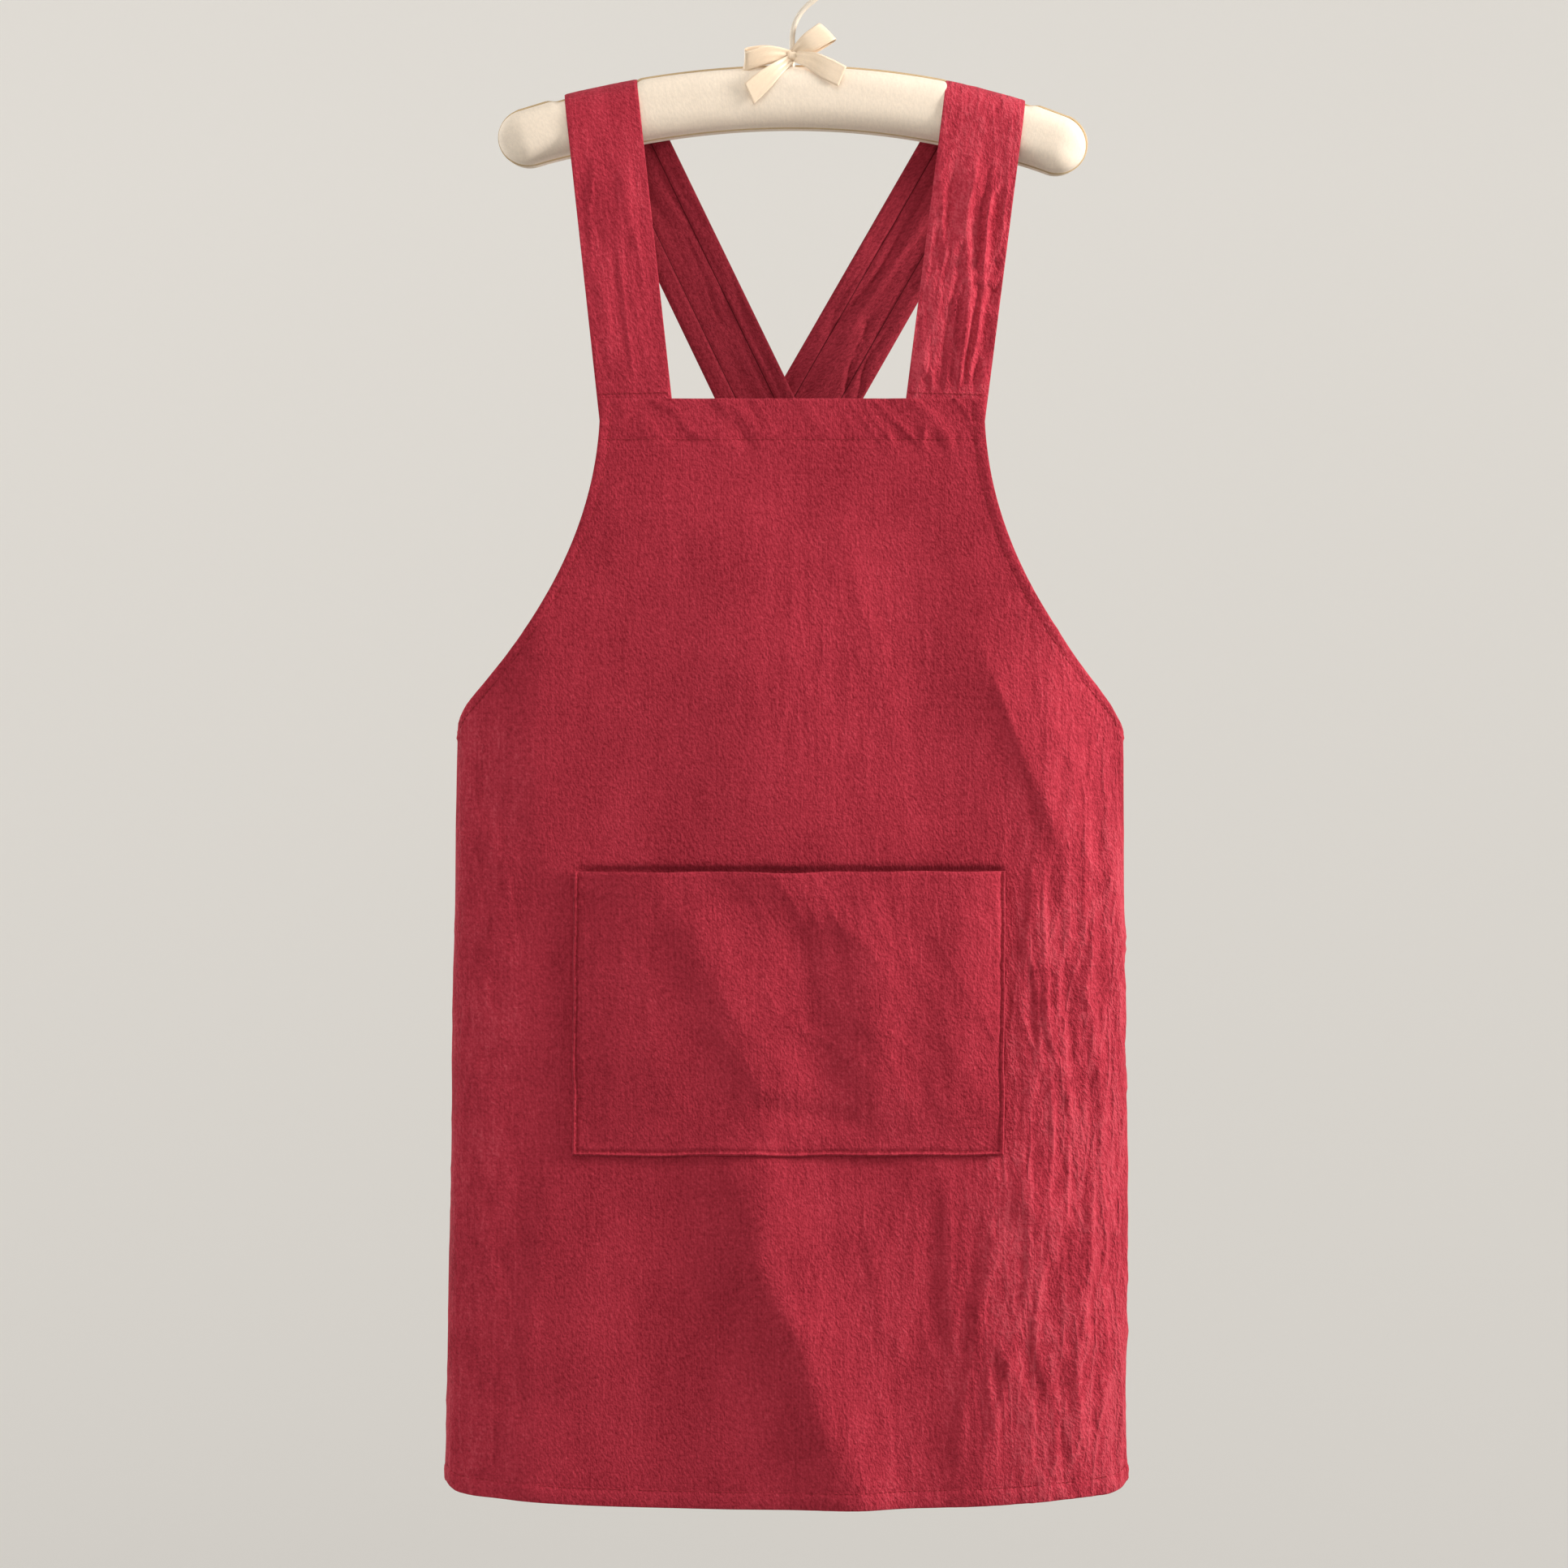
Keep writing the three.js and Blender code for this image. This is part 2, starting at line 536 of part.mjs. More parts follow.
// The bow's lengths, seen from the knot: right, front (-) and up, in shares of the ribbon's width.
const bowLengths = {
  loop_right: [
    { at: [0, 0, 0.05], across: [-0.6, 0, 0.8], wide: 0.4 },
    { at: [0.7, -0.3, 0.52], across: [-0.7, 0, 0.8], wide: 0.85 },
    { at: [1.4, -0.25, 0.98], across: [-0.7, 0, 0.7], wide: 1 },
    { at: [1.58, 0, 1.1], across: [-0.7, 0, 0.7], wide: 1 },
    { at: [1.4, 0.22, 0.95], across: [-0.7, 0, 0.7], wide: 1 },
    { at: [0.7, 0.22, 0.42], across: [-0.7, 0, 0.8], wide: 0.75 },
    { at: [0, 0.1, 0], across: [-0.6, 0, 0.8], wide: 0.35 },
  ],
  loop_left: [
    { at: [0, 0, 0.05], across: [0, -0.2, 1], wide: 0.4 },
    { at: [-1, -0.45, -0.02], across: [0, -0.3, 1], wide: 0.8 },
    { at: [-1.95, -0.55, -0.3], across: [0.1, -0.5, 1], wide: 0.9 },
    { at: [-2.12, -0.35, -0.2], across: [0.1, -0.5, 1], wide: 0.9 },
    { at: [-1.95, -0.1, -0.05], across: [0.1, -0.5, 1], wide: 0.9 },
    { at: [-1, 0.1, 0.12], across: [0, -0.3, 1], wide: 0.75 },
    { at: [0, 0.1, 0], across: [0, -0.2, 1], wide: 0.35 },
  ],
  tail_left: [
    { at: [0, -0.05, -0.1], across: [-0.65, 0, 0.75], wide: 0.4 },
    { at: [-0.6, -0.55, -0.6], across: [-0.65, 0, 0.75], wide: 0.6 },
    { at: [-1.2, -0.78, -1.15], across: [-0.65, 0, 0.75], wide: 0.85 },
    { at: [-1.9, -0.87, -1.8], across: [-0.4, 0, 0.92], wide: 1 },
  ],
  tail_right: [
    { at: [0, -0.05, 0], across: [0.3, 0, 0.9], wide: 0.4 },
    { at: [0.8, -0.5, -0.25], across: [0.4, 0, 0.9], wide: 0.75 },
    { at: [1.5, -0.72, -0.65], across: [0.42, 0, 0.9], wide: 0.95 },
    { at: [2.2, -0.82, -1.03], across: [0.39, 0, 0.92], wide: 0.95 },
  ],
};

// A tied ribbon bow in front of the hook's stem, just over the pad, as one joined solid.
function hangerBow() {
  const unit = ribbonWidth;
  const knotSize = vec(0.62, 0.5, 0.6).multiplyScalar(unit);
  const knotAt = vec(0, -(wireDiameter / 2 + gap + knotSize.y / 2), -hangerDrop + halfHeight + knotSize.z / 2 + gap);
  const knot = new THREE.SphereGeometry(0.5, 12, 8).scale(knotSize.x, knotSize.y, knotSize.z);
  const scaled = (stops) => stops.map((stop) => ({ ...stop, at: stop.at.map((share) => share * unit) }));
  const lengths = Object.values(bowLengths).map((stops) => ribbon(scaled(stops)));
  const bow = lengths.reduce((whole, length) => whole.add(length), solidOf(knot));
  return geometryOf(bow.translate(knotAt.toArray()));
}

const red = new THREE.MeshStandardMaterial({ color: 0xa03040, roughness: 0.9, metalness: 0, side: THREE.DoubleSide });
const cream = new THREE.MeshStandardMaterial({ color: 0xecd9c1, roughness: 0.85, metalness: 0 });
const tan = new THREE.MeshStandardMaterial({ color: 0xd2b48c, roughness: 0.6, metalness: 0 });
const ivory = new THREE.MeshStandardMaterial({ color: 0xf3e3cf, roughness: 0.4, metalness: 0 });
const satin = new THREE.MeshStandardMaterial({ color: 0xf0d5b0, roughness: 0.35, metalness: 0 });

function piece(name, geometry, material) {
  const mesh = new THREE.Mesh(geometry, material);
  mesh.name = name;
  return mesh;
}

const apron = new THREE.Group();
apron.add(piece("apron_body", apronBody(), red));
apron.add(piece("bib_facing", bibFacing(), red));
apron.add(piece("pocket", pocket(), red));
for (const row of straps) apron.add(piece(row.name, strap(row), red));

const hanger = new THREE.Group();
hanger.add(piece("hanger_pad", hangerPad(), cream));
hanger.add(piece("hanger_piping", hangerPiping(), tan));
hanger.add(piece("hanger_hook", hangerHook(), ivory));
hanger.add(piece("hanger_bow", hangerBow(), satin));

const hungApron = new THREE.Group();
hungApron.add(apron, hanger);

export default hungApron;
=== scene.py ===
"""A cross-back kitchen apron hanging on a padded hanger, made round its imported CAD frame.

Lengths are metres in the row frame: +Z up, the apron's front faces -Y, origin at the hook's seat.
Depths below the origin are called drops. "Across" runs along the cloth from the middle of the front,
to the right as seen from the front, and round the side fold to the back.
"""

import math
from contextlib import contextmanager
from types import SimpleNamespace

import bpy
import numpy as np
from bpy.props import FloatProperty, FloatVectorProperty, IntProperty, PointerProperty
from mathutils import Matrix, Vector


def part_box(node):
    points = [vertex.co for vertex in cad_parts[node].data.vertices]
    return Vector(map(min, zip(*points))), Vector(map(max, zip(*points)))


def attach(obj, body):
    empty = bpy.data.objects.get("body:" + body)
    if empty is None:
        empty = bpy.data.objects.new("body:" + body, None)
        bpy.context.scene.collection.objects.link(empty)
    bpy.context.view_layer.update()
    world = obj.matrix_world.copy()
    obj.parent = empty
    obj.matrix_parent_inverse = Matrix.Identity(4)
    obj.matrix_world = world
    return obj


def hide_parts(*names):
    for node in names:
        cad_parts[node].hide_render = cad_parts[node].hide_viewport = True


bl_info = {
    "name": "Kitchen apron on a padded hanger",
    "version": (1, 0, 0),
    "blender": (4, 5, 0),
    "location": "3D View > Sidebar > Apron",
    "description": "Makes a crinkled cross-back apron with a pocket, and the padded hanger that holds it",
    "category": "Add Mesh",
}

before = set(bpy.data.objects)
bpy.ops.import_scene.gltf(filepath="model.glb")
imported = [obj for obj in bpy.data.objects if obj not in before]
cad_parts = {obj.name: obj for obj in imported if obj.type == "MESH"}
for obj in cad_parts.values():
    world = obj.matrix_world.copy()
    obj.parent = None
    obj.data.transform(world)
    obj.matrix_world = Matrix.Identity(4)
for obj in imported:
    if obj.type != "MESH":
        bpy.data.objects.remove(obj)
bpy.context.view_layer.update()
BODY_LOW, BODY_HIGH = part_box("apron_body")
POCKET_LOW, POCKET_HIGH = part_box("pocket")
FACING_LOW, FACING_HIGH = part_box("bib_facing")
PIPING_LOW, PIPING_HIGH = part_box("hanger_piping")
PAD_LOW, PAD_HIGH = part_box("hanger_pad")

MM = 0.001


def length_of(name, description, default):
    """A length that a user can set, in metres."""
    return FloatProperty(
        name=name, description=description, default=default,
        min=0, precision=4, unit="LENGTH", subtype="DISTANCE",
    )


def colour_of(name, description, default):
    """A colour that a user can set, in linear light."""
    return FloatVectorProperty(
        name=name, description=description, default=default, size=3, min=0, max=1, subtype="COLOR"
    )


class ApronSizes(bpy.types.PropertyGroup):
    bib_drop: length_of("Bib drop", "From the hook's seat down to the bib's top edge", -BODY_HIGH.z)
    bib_width: length_of("Bib width", "Along the bib's top edge", 0.244)
    band_height: length_of(
        "Bib band", "Height of the turned band behind the bib's top", FACING_HIGH.z - FACING_LOW.z
    )
    side_drop: length_of("Side drop", "Down to where each armhole meets the side fold", 0.502)
    armhole_curve: FloatProperty(
        name="Armhole curve", description="How late the armhole swings out, 1 is straight",
        default=2.1, min=1, max=4,
    )
    back_dip: length_of("Back dip", "How much lower the back's top edge lies than the armhole's end", 0.008)
    skirt_width: length_of("Skirt width", "Between the side folds at the armholes' ends", 0.425)
    side_roll: FloatProperty(
        name="Side roll", description="Share of the depth that the front falls back before its sides",
        default=0.5, min=0, max=0.8,
    )
    skirt_flare: length_of("Skirt flare", "How much wider the hem is", 0.010)
    hem_drop: length_of("Hem drop", "Down to the hem at the middle of the front", -BODY_LOW.z)
    hem_rise: length_of("Hem rise", "How much higher the hem lies at the side folds", 0.0095)
    corner_rise: length_of("Corner rise", "How much the hem is lifted where the cloth folds back", 0.005)
    sway: length_of("Sway", "How far the hem hangs to the left of the hanger's middle", 0.004)
    front_bow: length_of("Front bow", "How far the front's middle stands forward", 0.005)
    hem_deepening: length_of("Hem deepening", "How much deeper the skirt hangs at the hem", 0.010)
    back_opening: length_of("Back opening", "Between the back panels' free edges", 0.100)
    hem_width: length_of("Hem width", "Turned in at the hem and the free edges", 0.011)
    armhole_hem: length_of("Armhole hem", "Turned in along the armholes and the back's top", 0.007)
    strap_width: length_of("Strap width", "Of a shoulder strap", 0.050)
    strap_hem: length_of("Strap hem", "Turned in along both edges of a strap", 0.0115)
    pocket_width: length_of("Pocket width", "Of the front pocket", POCKET_HIGH.x - POCKET_LOW.x)
    pocket_drop: length_of("Pocket drop", "Down to the pocket's mouth", -POCKET_HIGH.z - 0.0015)
    pocket_height: length_of("Pocket height", "From mouth to foot", POCKET_HIGH.z - POCKET_LOW.z + 0.0015)
    pocket_belly: length_of("Pocket belly", "How far the mouth stands off the front", 0.0076)
    cloth: length_of("Cloth thickness", "Of one layer of cloth", 0.0009)


class HangerSizes(bpy.types.PropertyGroup):
    length: length_of("Hanger length", "From end to end over the piping", PIPING_HIGH.x - PIPING_LOW.x)
    height: length_of("Hanger height", "Of the bar seen from the front, with its piping", 0.042)
    depth: length_of("Hanger depth", "Of the bar from front to back", PAD_HIGH.y - PAD_LOW.y)
    drop: length_of("Hanger drop", "Down to the middle of the bar", 0.098)
    arc: length_of("Bar bend", "Radius of the bar's arc", 0.525)
    lean: length_of("Lean", "How much lower the right end hangs than a level bar's", 0.003)
    piping: length_of("Piping diameter", "Of the cord in the cover's seam", 0.002)
    wire: length_of("Wire diameter", "Of the hook", 0.0035)
    crook: length_of("Crook radius", "Of the hook's round, at the wire's middle", 0.02125)
    neck: length_of("Neck radius", "Of the bend below the crook", 0.0296)
    ribbon: length_of("Ribbon width", "Of the bow", 0.0145)


class ClothLook(bpy.types.PropertyGroup):
    red: colour_of("Cloth red", "The apron's cloth", (0.486, 0.0345, 0.058))
    # The deep red is partly the cloth's own darker threads and partly painted shade in the hollows of its
    # grain and creases.
    red_deep_and_shade: colour_of(
        "Deep red", "The cloth between its threads and in its creases", (0.262, 0.0122, 0.0242)
    )
    thread: colour_of("Thread red", "The sewing thread", (0.32, 0.014, 0.025))
    cream: colour_of("Hanger cream", "The hanger's cover", (0.93, 0.79, 0.63))
    tan: colour_of("Piping tan", "The piping", (0.66, 0.48, 0.27))
    ivory: colour_of("Hook ivory", "The hook's enamel", (0.84, 0.74, 0.60))
    peach: colour_of("Ribbon peach", "The bow's satin", (0.93, 0.73, 0.52))
    crinkle: FloatProperty(
        name="Crinkle", description="How deep the washed cloth's creases are, 1 as in the photo",
        default=1, min=0, max=2,
    )
    seed: IntProperty(name="Seed", description="Which random creases the cloth has", default=7, min=0)


class StageSettings(bpy.types.PropertyGroup):
    camera_distance: length_of("Camera distance", "From the lens to the hanger's middle plane", 2.6)
    picture_width: length_of(
        "Picture width", "What the picture takes in at the hanger's middle plane", 1.0029
    )
    view_across: FloatProperty(
        name="View across", description="From the hanger's middle to the picture's",
        default=-0.0052, unit="LENGTH",
    )
    view_drop: length_of("View drop", "Down to the picture's middle", 0.5368)
    floor_drop: length_of("Floor drop", "Down to the floor", 1.75)
    paper: colour_of("Paper", "The floor and its upward sweep", (0.70, 0.67, 0.62))


# The main folds of the hanging cloth, each a soft ridge (+) or hollow (-) along a line. Across is a
# share of half the skirt's width, down a share of the height from the bib's top to the hem, and
# width and height are shares of the skirt's width.
FOLD_COLUMNS = ("from_across", "from_down", "to_across", "to_down", "width", "height")
FOLDS = {
    "skirt_ridge": (-0.13, 0.7, 0.2, 1, 0.07, 0.012),
    "hem_ridge_outer": (0.86, 0.74, 0.92, 1, 0.04, 0.005),
    "hem_ridge_inner": (0.72, 0.72, 0.56, 1, 0.04, 0.0045),
    "left_roll": (-0.92, 0.4, -0.94, 1, 0.04, 0.006),
    "left_hollow": (-0.78, 0.45, -0.76, 0.9, 0.05, -0.005),
    "bib_roll": (-0.2, 0.12, -0.05, 0.36, 0.1, 0.007),
    "bib_hollow": (0.33, 0.12, 0.42, 0.36, 0.07, -0.006),
    "skirt_hollow_left": (-0.42, 0.75, -0.35, 1, 0.1, -0.007),
    "skirt_hollow_right": (0.42, 0.75, 0.37, 1, 0.05, -0.005),
    "back_roll_left": (-1.5, 0.5, -1.45, 1, 0.07, 0.012),
    "back_roll_right": (1.5, 0.5, 1.55, 1, 0.07, 0.01),
}

# The sharper creases that ironing and washing left, in the same measures.
CREASES = {
    "skirt_edge_upper": (-0.047, 0.69, -0.085, 0.78, 0.03, 0.0045),
    "skirt_edge_middle": (-0.085, 0.78, 0.022, 0.84, 0.03, 0.006),
    "skirt_edge_lower": (0.022, 0.84, 0.113, 0.927, 0.03, 0.006),
    "skirt_edge_hem": (0.113, 0.927, 0.24, 1, 0.03, 0.0045),
    "skirt_fork": (0.38, 0.74, 0.32, 0.86, 0.009, 0.003),
    "skirt_fork_left": (0.24, 0.76, 0.28, 0.84, 0.009, 0.0026),
    "hip_edge": (0.62, 0.26, 0.8, 0.39, 0.015, 0.003),
    "right_crease_upper": (0.8, 0.3, 0.9, 0.42, 0.012, 0.003),
    "right_crease_waist": (0.72, 0.44, 0.78, 0.58, 0.012, 0.004),
    "right_crease_pocket": (0.82, 0.43, 0.8, 0.62, 0.01, 0.0035),
    "right_crease_middle": (0.9, 0.5, 0.94, 0.74, 0.012, 0.005),
    "right_swell": (0.9, 0.7, 0.85, 0.95, 0.02, 0.004),
    "fork_left": (0.61, 0.76, 0.5, 0.95, 0.012, 0.004),
    "fork_middle": (0.47, 0.72, 0.5, 0.83, 0.012, 0.0035),
    "bib_line": (0.16, 0.12, 0.3, 0.3, 0.016, 0.002),
    "waist_line": (-0.05, 0.42, 0.07, 0.43, 0.01, 0.0016),
    "waist_line_low": (-0.02, 0.45, 0.09, 0.46, 0.01, 0.0016),
    "left_line": (-0.83, 0.42, -0.86, 0.58, 0.018, 0.0026),
    "left_line_low": (-0.7, 0.7, -0.78, 0.85, 0.02, 0.0022),
}

# The long thin creases, each with its width and height as above, and then the stops of its line as
# shares across and down.
THIN_CREASES = {
    "right_line": (
        0.006, 0.0042, (0.88, 0.7), (0.9, 0.786), (0.887, 0.83), (0.854, 0.873), (0.87, 0.913), (0.885, 0.96)
    ),
    "right_branch": (0.006, 0.003, (0.8, 0.83), (0.825, 0.86), (0.854, 0.885)),
    "right_groove": (0.006, -0.004, (0.812, 0.87), (0.818, 0.92), (0.822, 0.985)),
    "slant_line": (
        0.006, 0.0022, (0.69, 0.66), (0.71, 0.75), (0.716, 0.793), (0.675, 0.849), (0.656, 0.889),
        (0.591, 0.945), (0.55, 0.975)
    ),
    "slant_branch": (0.005, 0.003, (0.8, 0.74), (0.787, 0.769), (0.74, 0.793), (0.7, 0.825)),
    "edge_line": (0.005, 0.003, (0.955, 0.72), (0.945, 0.8), (0.957, 0.87), (0.93, 0.95)),
    "side_line": (
        0.006, 0.0036, (0.915, 0.44), (0.91, 0.469), (0.898, 0.505), (0.879, 0.531), (0.903, 0.565),
        (0.9, 0.6)
    ),
    "pocket_line": (0.006, 0.003, (0.7, 0.47), (0.735, 0.53), (0.74, 0.59), (0.72, 0.64)),
    "middle_line": (0.005, 0.0026, (0.46, 0.72), (0.475, 0.79), (0.455, 0.84)),
}

# The fold that slants down from the right armhole, with the front falling back on both its sides: its
# line and its crest's height and round in metres, and how steeply the front falls back beyond it.
HIP_FOLD = SimpleNamespace(
    from_across=0.132, from_drop=0.478, to_across=0.170, to_drop=0.573, crest=0.0027, round=0.014, fall=0.12
)

# The washed cloth's small creases: one crease's width, its length and how far it wanders, in millimetres.
SMALL_CREASES = {
    "body_fine": (5.5, 32, 5),
    "body_broad": (11, 85, 13),
    "band_slant": (9, 34, 4),
    "facing": (5, 20, 3),
    "pocket_fine": (5.5, 26, 6),
    "pocket_slant": (15, 60, 12),
    "strap_fine": (3.8, 24, 4),
    "strap_broad": (9, 75, 8),
}

# The pocket's own folds: across in shares of half its width, down in shares of its height, and width
# and height in shares of its width.
POCKET_FOLDS = {
    "diagonal_crest": (-0.44, 0.2, -0.13, 0.76, 0.065, 0.012),
    "middle_hollow": (0.03, 0.25, 0.16, 0.7, 0.055, -0.008),
    "middle_crest": (0.36, 0.12, 0.42, 0.72, 0.06, 0.01),
    "right_hollow": (0.6, 0.3, 0.6, 0.7, 0.06, -0.0045),
    "right_crest": (0.8, 0.2, 0.76, 0.8, 0.045, 0.003),
    "mouth_crest": (-0.1, 0, 0.25, 0.2, 0.05, 0.006),
    "foot_crease": (-0.12, 0.83, 0.3, 0.88, 0.03, -0.006),
    "left_wave": (-0.75, 0.1, -0.7, 0.6, 0.09, 0.003),
}

# Each strap's width and places, as shares of the named size that they follow, and how much of the
# cloth's crinkle it has.
STRAP_COLUMNS = ("side", "width", "over_hanger", "back_inset", "crossing_dip", "crinkle", "back_shift")
STRAPS = {
    "strap_left": (-1, 0.95, 0.643, 0.35, 1, 0.75, 0.06),
    "strap_right": (1, 1.04, 0.65, 0.88, 0, 1.65, 0.09),
}

# The bow's lengths, seen from the knot: right, front (-) and up, then the ribbon's direction across,
# in shares of its width, and how much of its width it has there.
BOW = {
    "loop_right": (
        ((0, 0, 0.05), (-0.6, 0, 0.8), 0.4),
        ((0.7, -0.3, 0.52), (-0.7, 0, 0.8), 0.85),
        ((1.4, -0.25, 0.98), (-0.7, 0, 0.7), 1),
        ((1.58, 0, 1.1), (-0.7, 0, 0.7), 1),
        ((1.4, 0.22, 0.95), (-0.7, 0, 0.7), 1),
        ((0.7, 0.22, 0.42), (-0.7, 0, 0.8), 0.75),
        ((0, 0.1, 0), (-0.6, 0, 0.8), 0.35),
    ),
    "loop_left": (
        ((0, 0, 0.05), (0, -0.2, 1), 0.4),
        ((-1, -0.45, -0.02), (0, -0.3, 1), 0.8),
        ((-1.95, -0.55, -0.3), (0.1, -0.5, 1), 0.9),
        ((-2.12, -0.35, -0.2), (0.1, -0.5, 1), 0.9),
        ((-1.95, -0.1, -0.05), (0.1, -0.5, 1), 0.9),
        ((-1, 0.1, 0.12), (0, -0.3, 1), 0.75),
        ((0, 0.1, 0), (0, -0.2, 1), 0.35),
    ),
    "tail_left": (
        ((0, -0.05, -0.1), (-0.65, 0, 0.75), 0.4),
        ((-0.6, -0.55, -0.6), (-0.65, 0, 0.75), 0.6),
        ((-1.2, -0.78, -1.15), (-0.65, 0, 0.75), 0.85),
        ((-1.9, -0.87, -1.8), (-0.4, 0, 0.92), 1),
    ),
    "tail_right": (
        ((0, -0.05, 0), (0.3, 0, 0.9), 0.4),
        ((0.8, -0.5, -0.25), (0.4, 0, 0.9), 0.75),
        ((1.5, -0.72, -0.65), (0.42, 0, 0.9), 0.95),
        ((2.2, -0.82, -1.03), (0.39, 0, 0.92), 0.95),
    ),
}


# Small tools


def strap_named(name):
    """A strap's row with its columns by name."""
    return SimpleNamespace(**dict(zip(STRAP_COLUMNS, STRAPS[name])))


def smooth(value, low, high):
    """0 at low and 1 at high, with a soft start and end. Low may be the larger of the two."""
    share = np.clip((value - low) / (high - low), 0, 1)
    return share * share * (3 - 2 * share)


def bump(value, middle, width):
    """A soft hump, 1 at the middle and nearly 0 two widths away."""
    return np.exp(-(((value - middle) / width) ** 2))


def unit(vectors):
    """The vectors' directions."""
    return vectors / np.linalg.norm(vectors, axis=-1, keepdims=True)


def stepped(stops, counts):
    """Numbers through several stops, with a number of equal steps between each two."""
    runs = [np.linspace(stops[i], stops[i + 1], counts[i] + 1)[1:] for i in range(len(counts))]
    return np.concatenate([[stops[0]], *runs])


def noise(u, v, seed):
    """Smooth random heights from -1 to 1 over a plane, about one hump to each unit."""
    size = 128
    table = np.random.default_rng(seed).uniform(-1, 1, (size, size))
    u, v = np.broadcast_arrays(u, v)
    column, row = np.floor(u).astype(int), np.floor(v).astype(int)
    along, down = u - column, v - row
    along = along**3 * (along * (along * 6 - 15) + 10)
    down = down**3 * (down * (down * 6 - 15) + 10)

    def height(right, below):
        return table[(column + right) % size, (row + below) % size]

    upper = height(0, 0) + along * (height(1, 0) - height(0, 0))
    lower = height(0, 1) + along * (height(1, 1) - height(0, 1))
    return upper + down * (lower - upper)


def crinkle(across, along, wide, tall, sway, seed):
    """Narrow ridges that wander along the cloth, from 0 to 1. Wide and tall are one ridge's size."""
    bent = across + sway * noise(across / (7 * wide), along / (0.8 * tall), seed + 1)
    height = noise(bent / wide, along / tall, seed)
    return (1 - np.abs(height)) ** 3


def small_creases(kind, across, along, seed):
    """Small creases of a kind, from a little below the cloth to well above it."""
    wide, tall, sway = (part * MM for part in SMALL_CREASES[kind])
    return crinkle(across, along, wide, tall, sway, seed) - 0.3


def normals_of(point_at, across, down):
    """The outward normals of a cloth that a function of across and down gives."""
    step = 0.4 * MM
    right = point_at(across + step, down) - point_at(across - step, down)
    up = point_at(across, down - step) - point_at(across, down + step)
    return unit(np.cross(right, up))


def grid_cells(columns, rows, first=0):
    """The four-sided cells between that many columns and rows of points, listed row by row."""
    corner = first + np.arange((rows - 1) * columns).reshape(rows - 1, columns)[:, :-1].ravel()
    return np.stack([corner, corner + columns, corner + columns + 1, corner + 1], -1)


def length_along(points):
    """How far each point lies along the line through them all."""
    return np.concatenate([[0], np.cumsum(np.linalg.norm(np.diff(points, axis=0), axis=1))])


def deselect():
    """Leave edit mode and deselect every object."""
    if bpy.context.object and bpy.context.object.mode != "OBJECT":
        bpy.ops.object.mode_set(mode="OBJECT")
    bpy.ops.object.select_all(action="DESELECT")


def make_active(piece):
    """Select one object alone, for the operators that follow."""
    deselect()
    piece.select_set(True)
    bpy.context.view_layer.objects.active = piece


@contextmanager
def edit_mode(action=None):
    """Edit the active mesh, with its selection kept or changed first, and leave edit mode after."""
    bpy.ops.object.mode_set(mode="EDIT")
    if action:
        bpy.ops.mesh.select_all(action=action)
    yield
    bpy.ops.object.mode_set(mode="OBJECT")


def deselect_mesh(kind=None):
    """Deselect all of the active mesh, before some of its faces or edges are selected in code."""
    with edit_mode("DESELECT"):
        if kind:
            bpy.ops.mesh.select_mode(type=kind)


def mesh_piece(name, points, faces, uv, material, crumple=None):
    """A smooth-shaded mesh, with uv giving each point's place on the flat cloth in metres, and
    crumple how creased the cloth is there and how much its crease crests are painted lighter."""
    mesh = bpy.data.meshes.new(name)
    mesh.from_pydata(points.tolist(), [], faces)
    layer = mesh.uv_layers.new(name="cloth")
    corner = np.empty(len(mesh.loops), np.int32)
    mesh.loops.foreach_get("vertex_index", corner)
    layer.data.foreach_set("uv", uv[corner].astype(np.float32).ravel())
    mesh.polygons.foreach_set("use_smooth", np.ones(len(mesh.polygons), bool))
    if crumple is not None:
        mesh.attributes.new("crumple", "FLOAT", "POINT").data.foreach_set("value", crumple.astype(np.float32))
    mesh.materials.append(material)
    mesh.validate()
    piece = bpy.data.objects.new(name, mesh)
    bpy.context.scene.collection.objects.link(piece)
    return piece


def wall_piece(name, middle, normal, outside, inside, cells, uv, material, crumple=None):
    """A closed sheet round the middle of its cloth, with the distances from there to both its skins."""
    outer = (middle + normal * outside[..., None]).reshape(-1, 3)
    inner = (middle - normal * inside[..., None]).reshape(-1, 3)
    uv = uv.reshape(-1, 2)
    count = len(outer)
    ahead = np.concatenate([cells[:, [i, (i + 1) % 4]] for i in range(4)])
    key = ahead[:, 0].astype(np.int64) * count + ahead[:, 1]
    back_key = ahead[:, 1].astype(np.int64) * count + ahead[:, 0]
    rim = ahead[~np.isin(key, back_key)]
    rim_faces = np.stack([rim[:, 1], rim[:, 0], rim[:, 0] + count, rim[:, 1] + count], -1)
    faces = np.concatenate([cells, cells[:, ::-1] + count, rim_faces])
    points = np.concatenate([outer, inner])
    both = None if crumple is None else np.tile(crumple.ravel(), 2)
    return mesh_piece(name, points, faces.tolist(), np.concatenate([uv, uv]), material, both)


def finish_piece(piece, slot, *nodes):
    """Hang a piece on the part's one body and hide the CAD nodes that it stands for. Its slot is not used."""
    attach(piece, "root")
    if nodes:
        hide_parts(*nodes)
    return piece


# Places that several pieces share


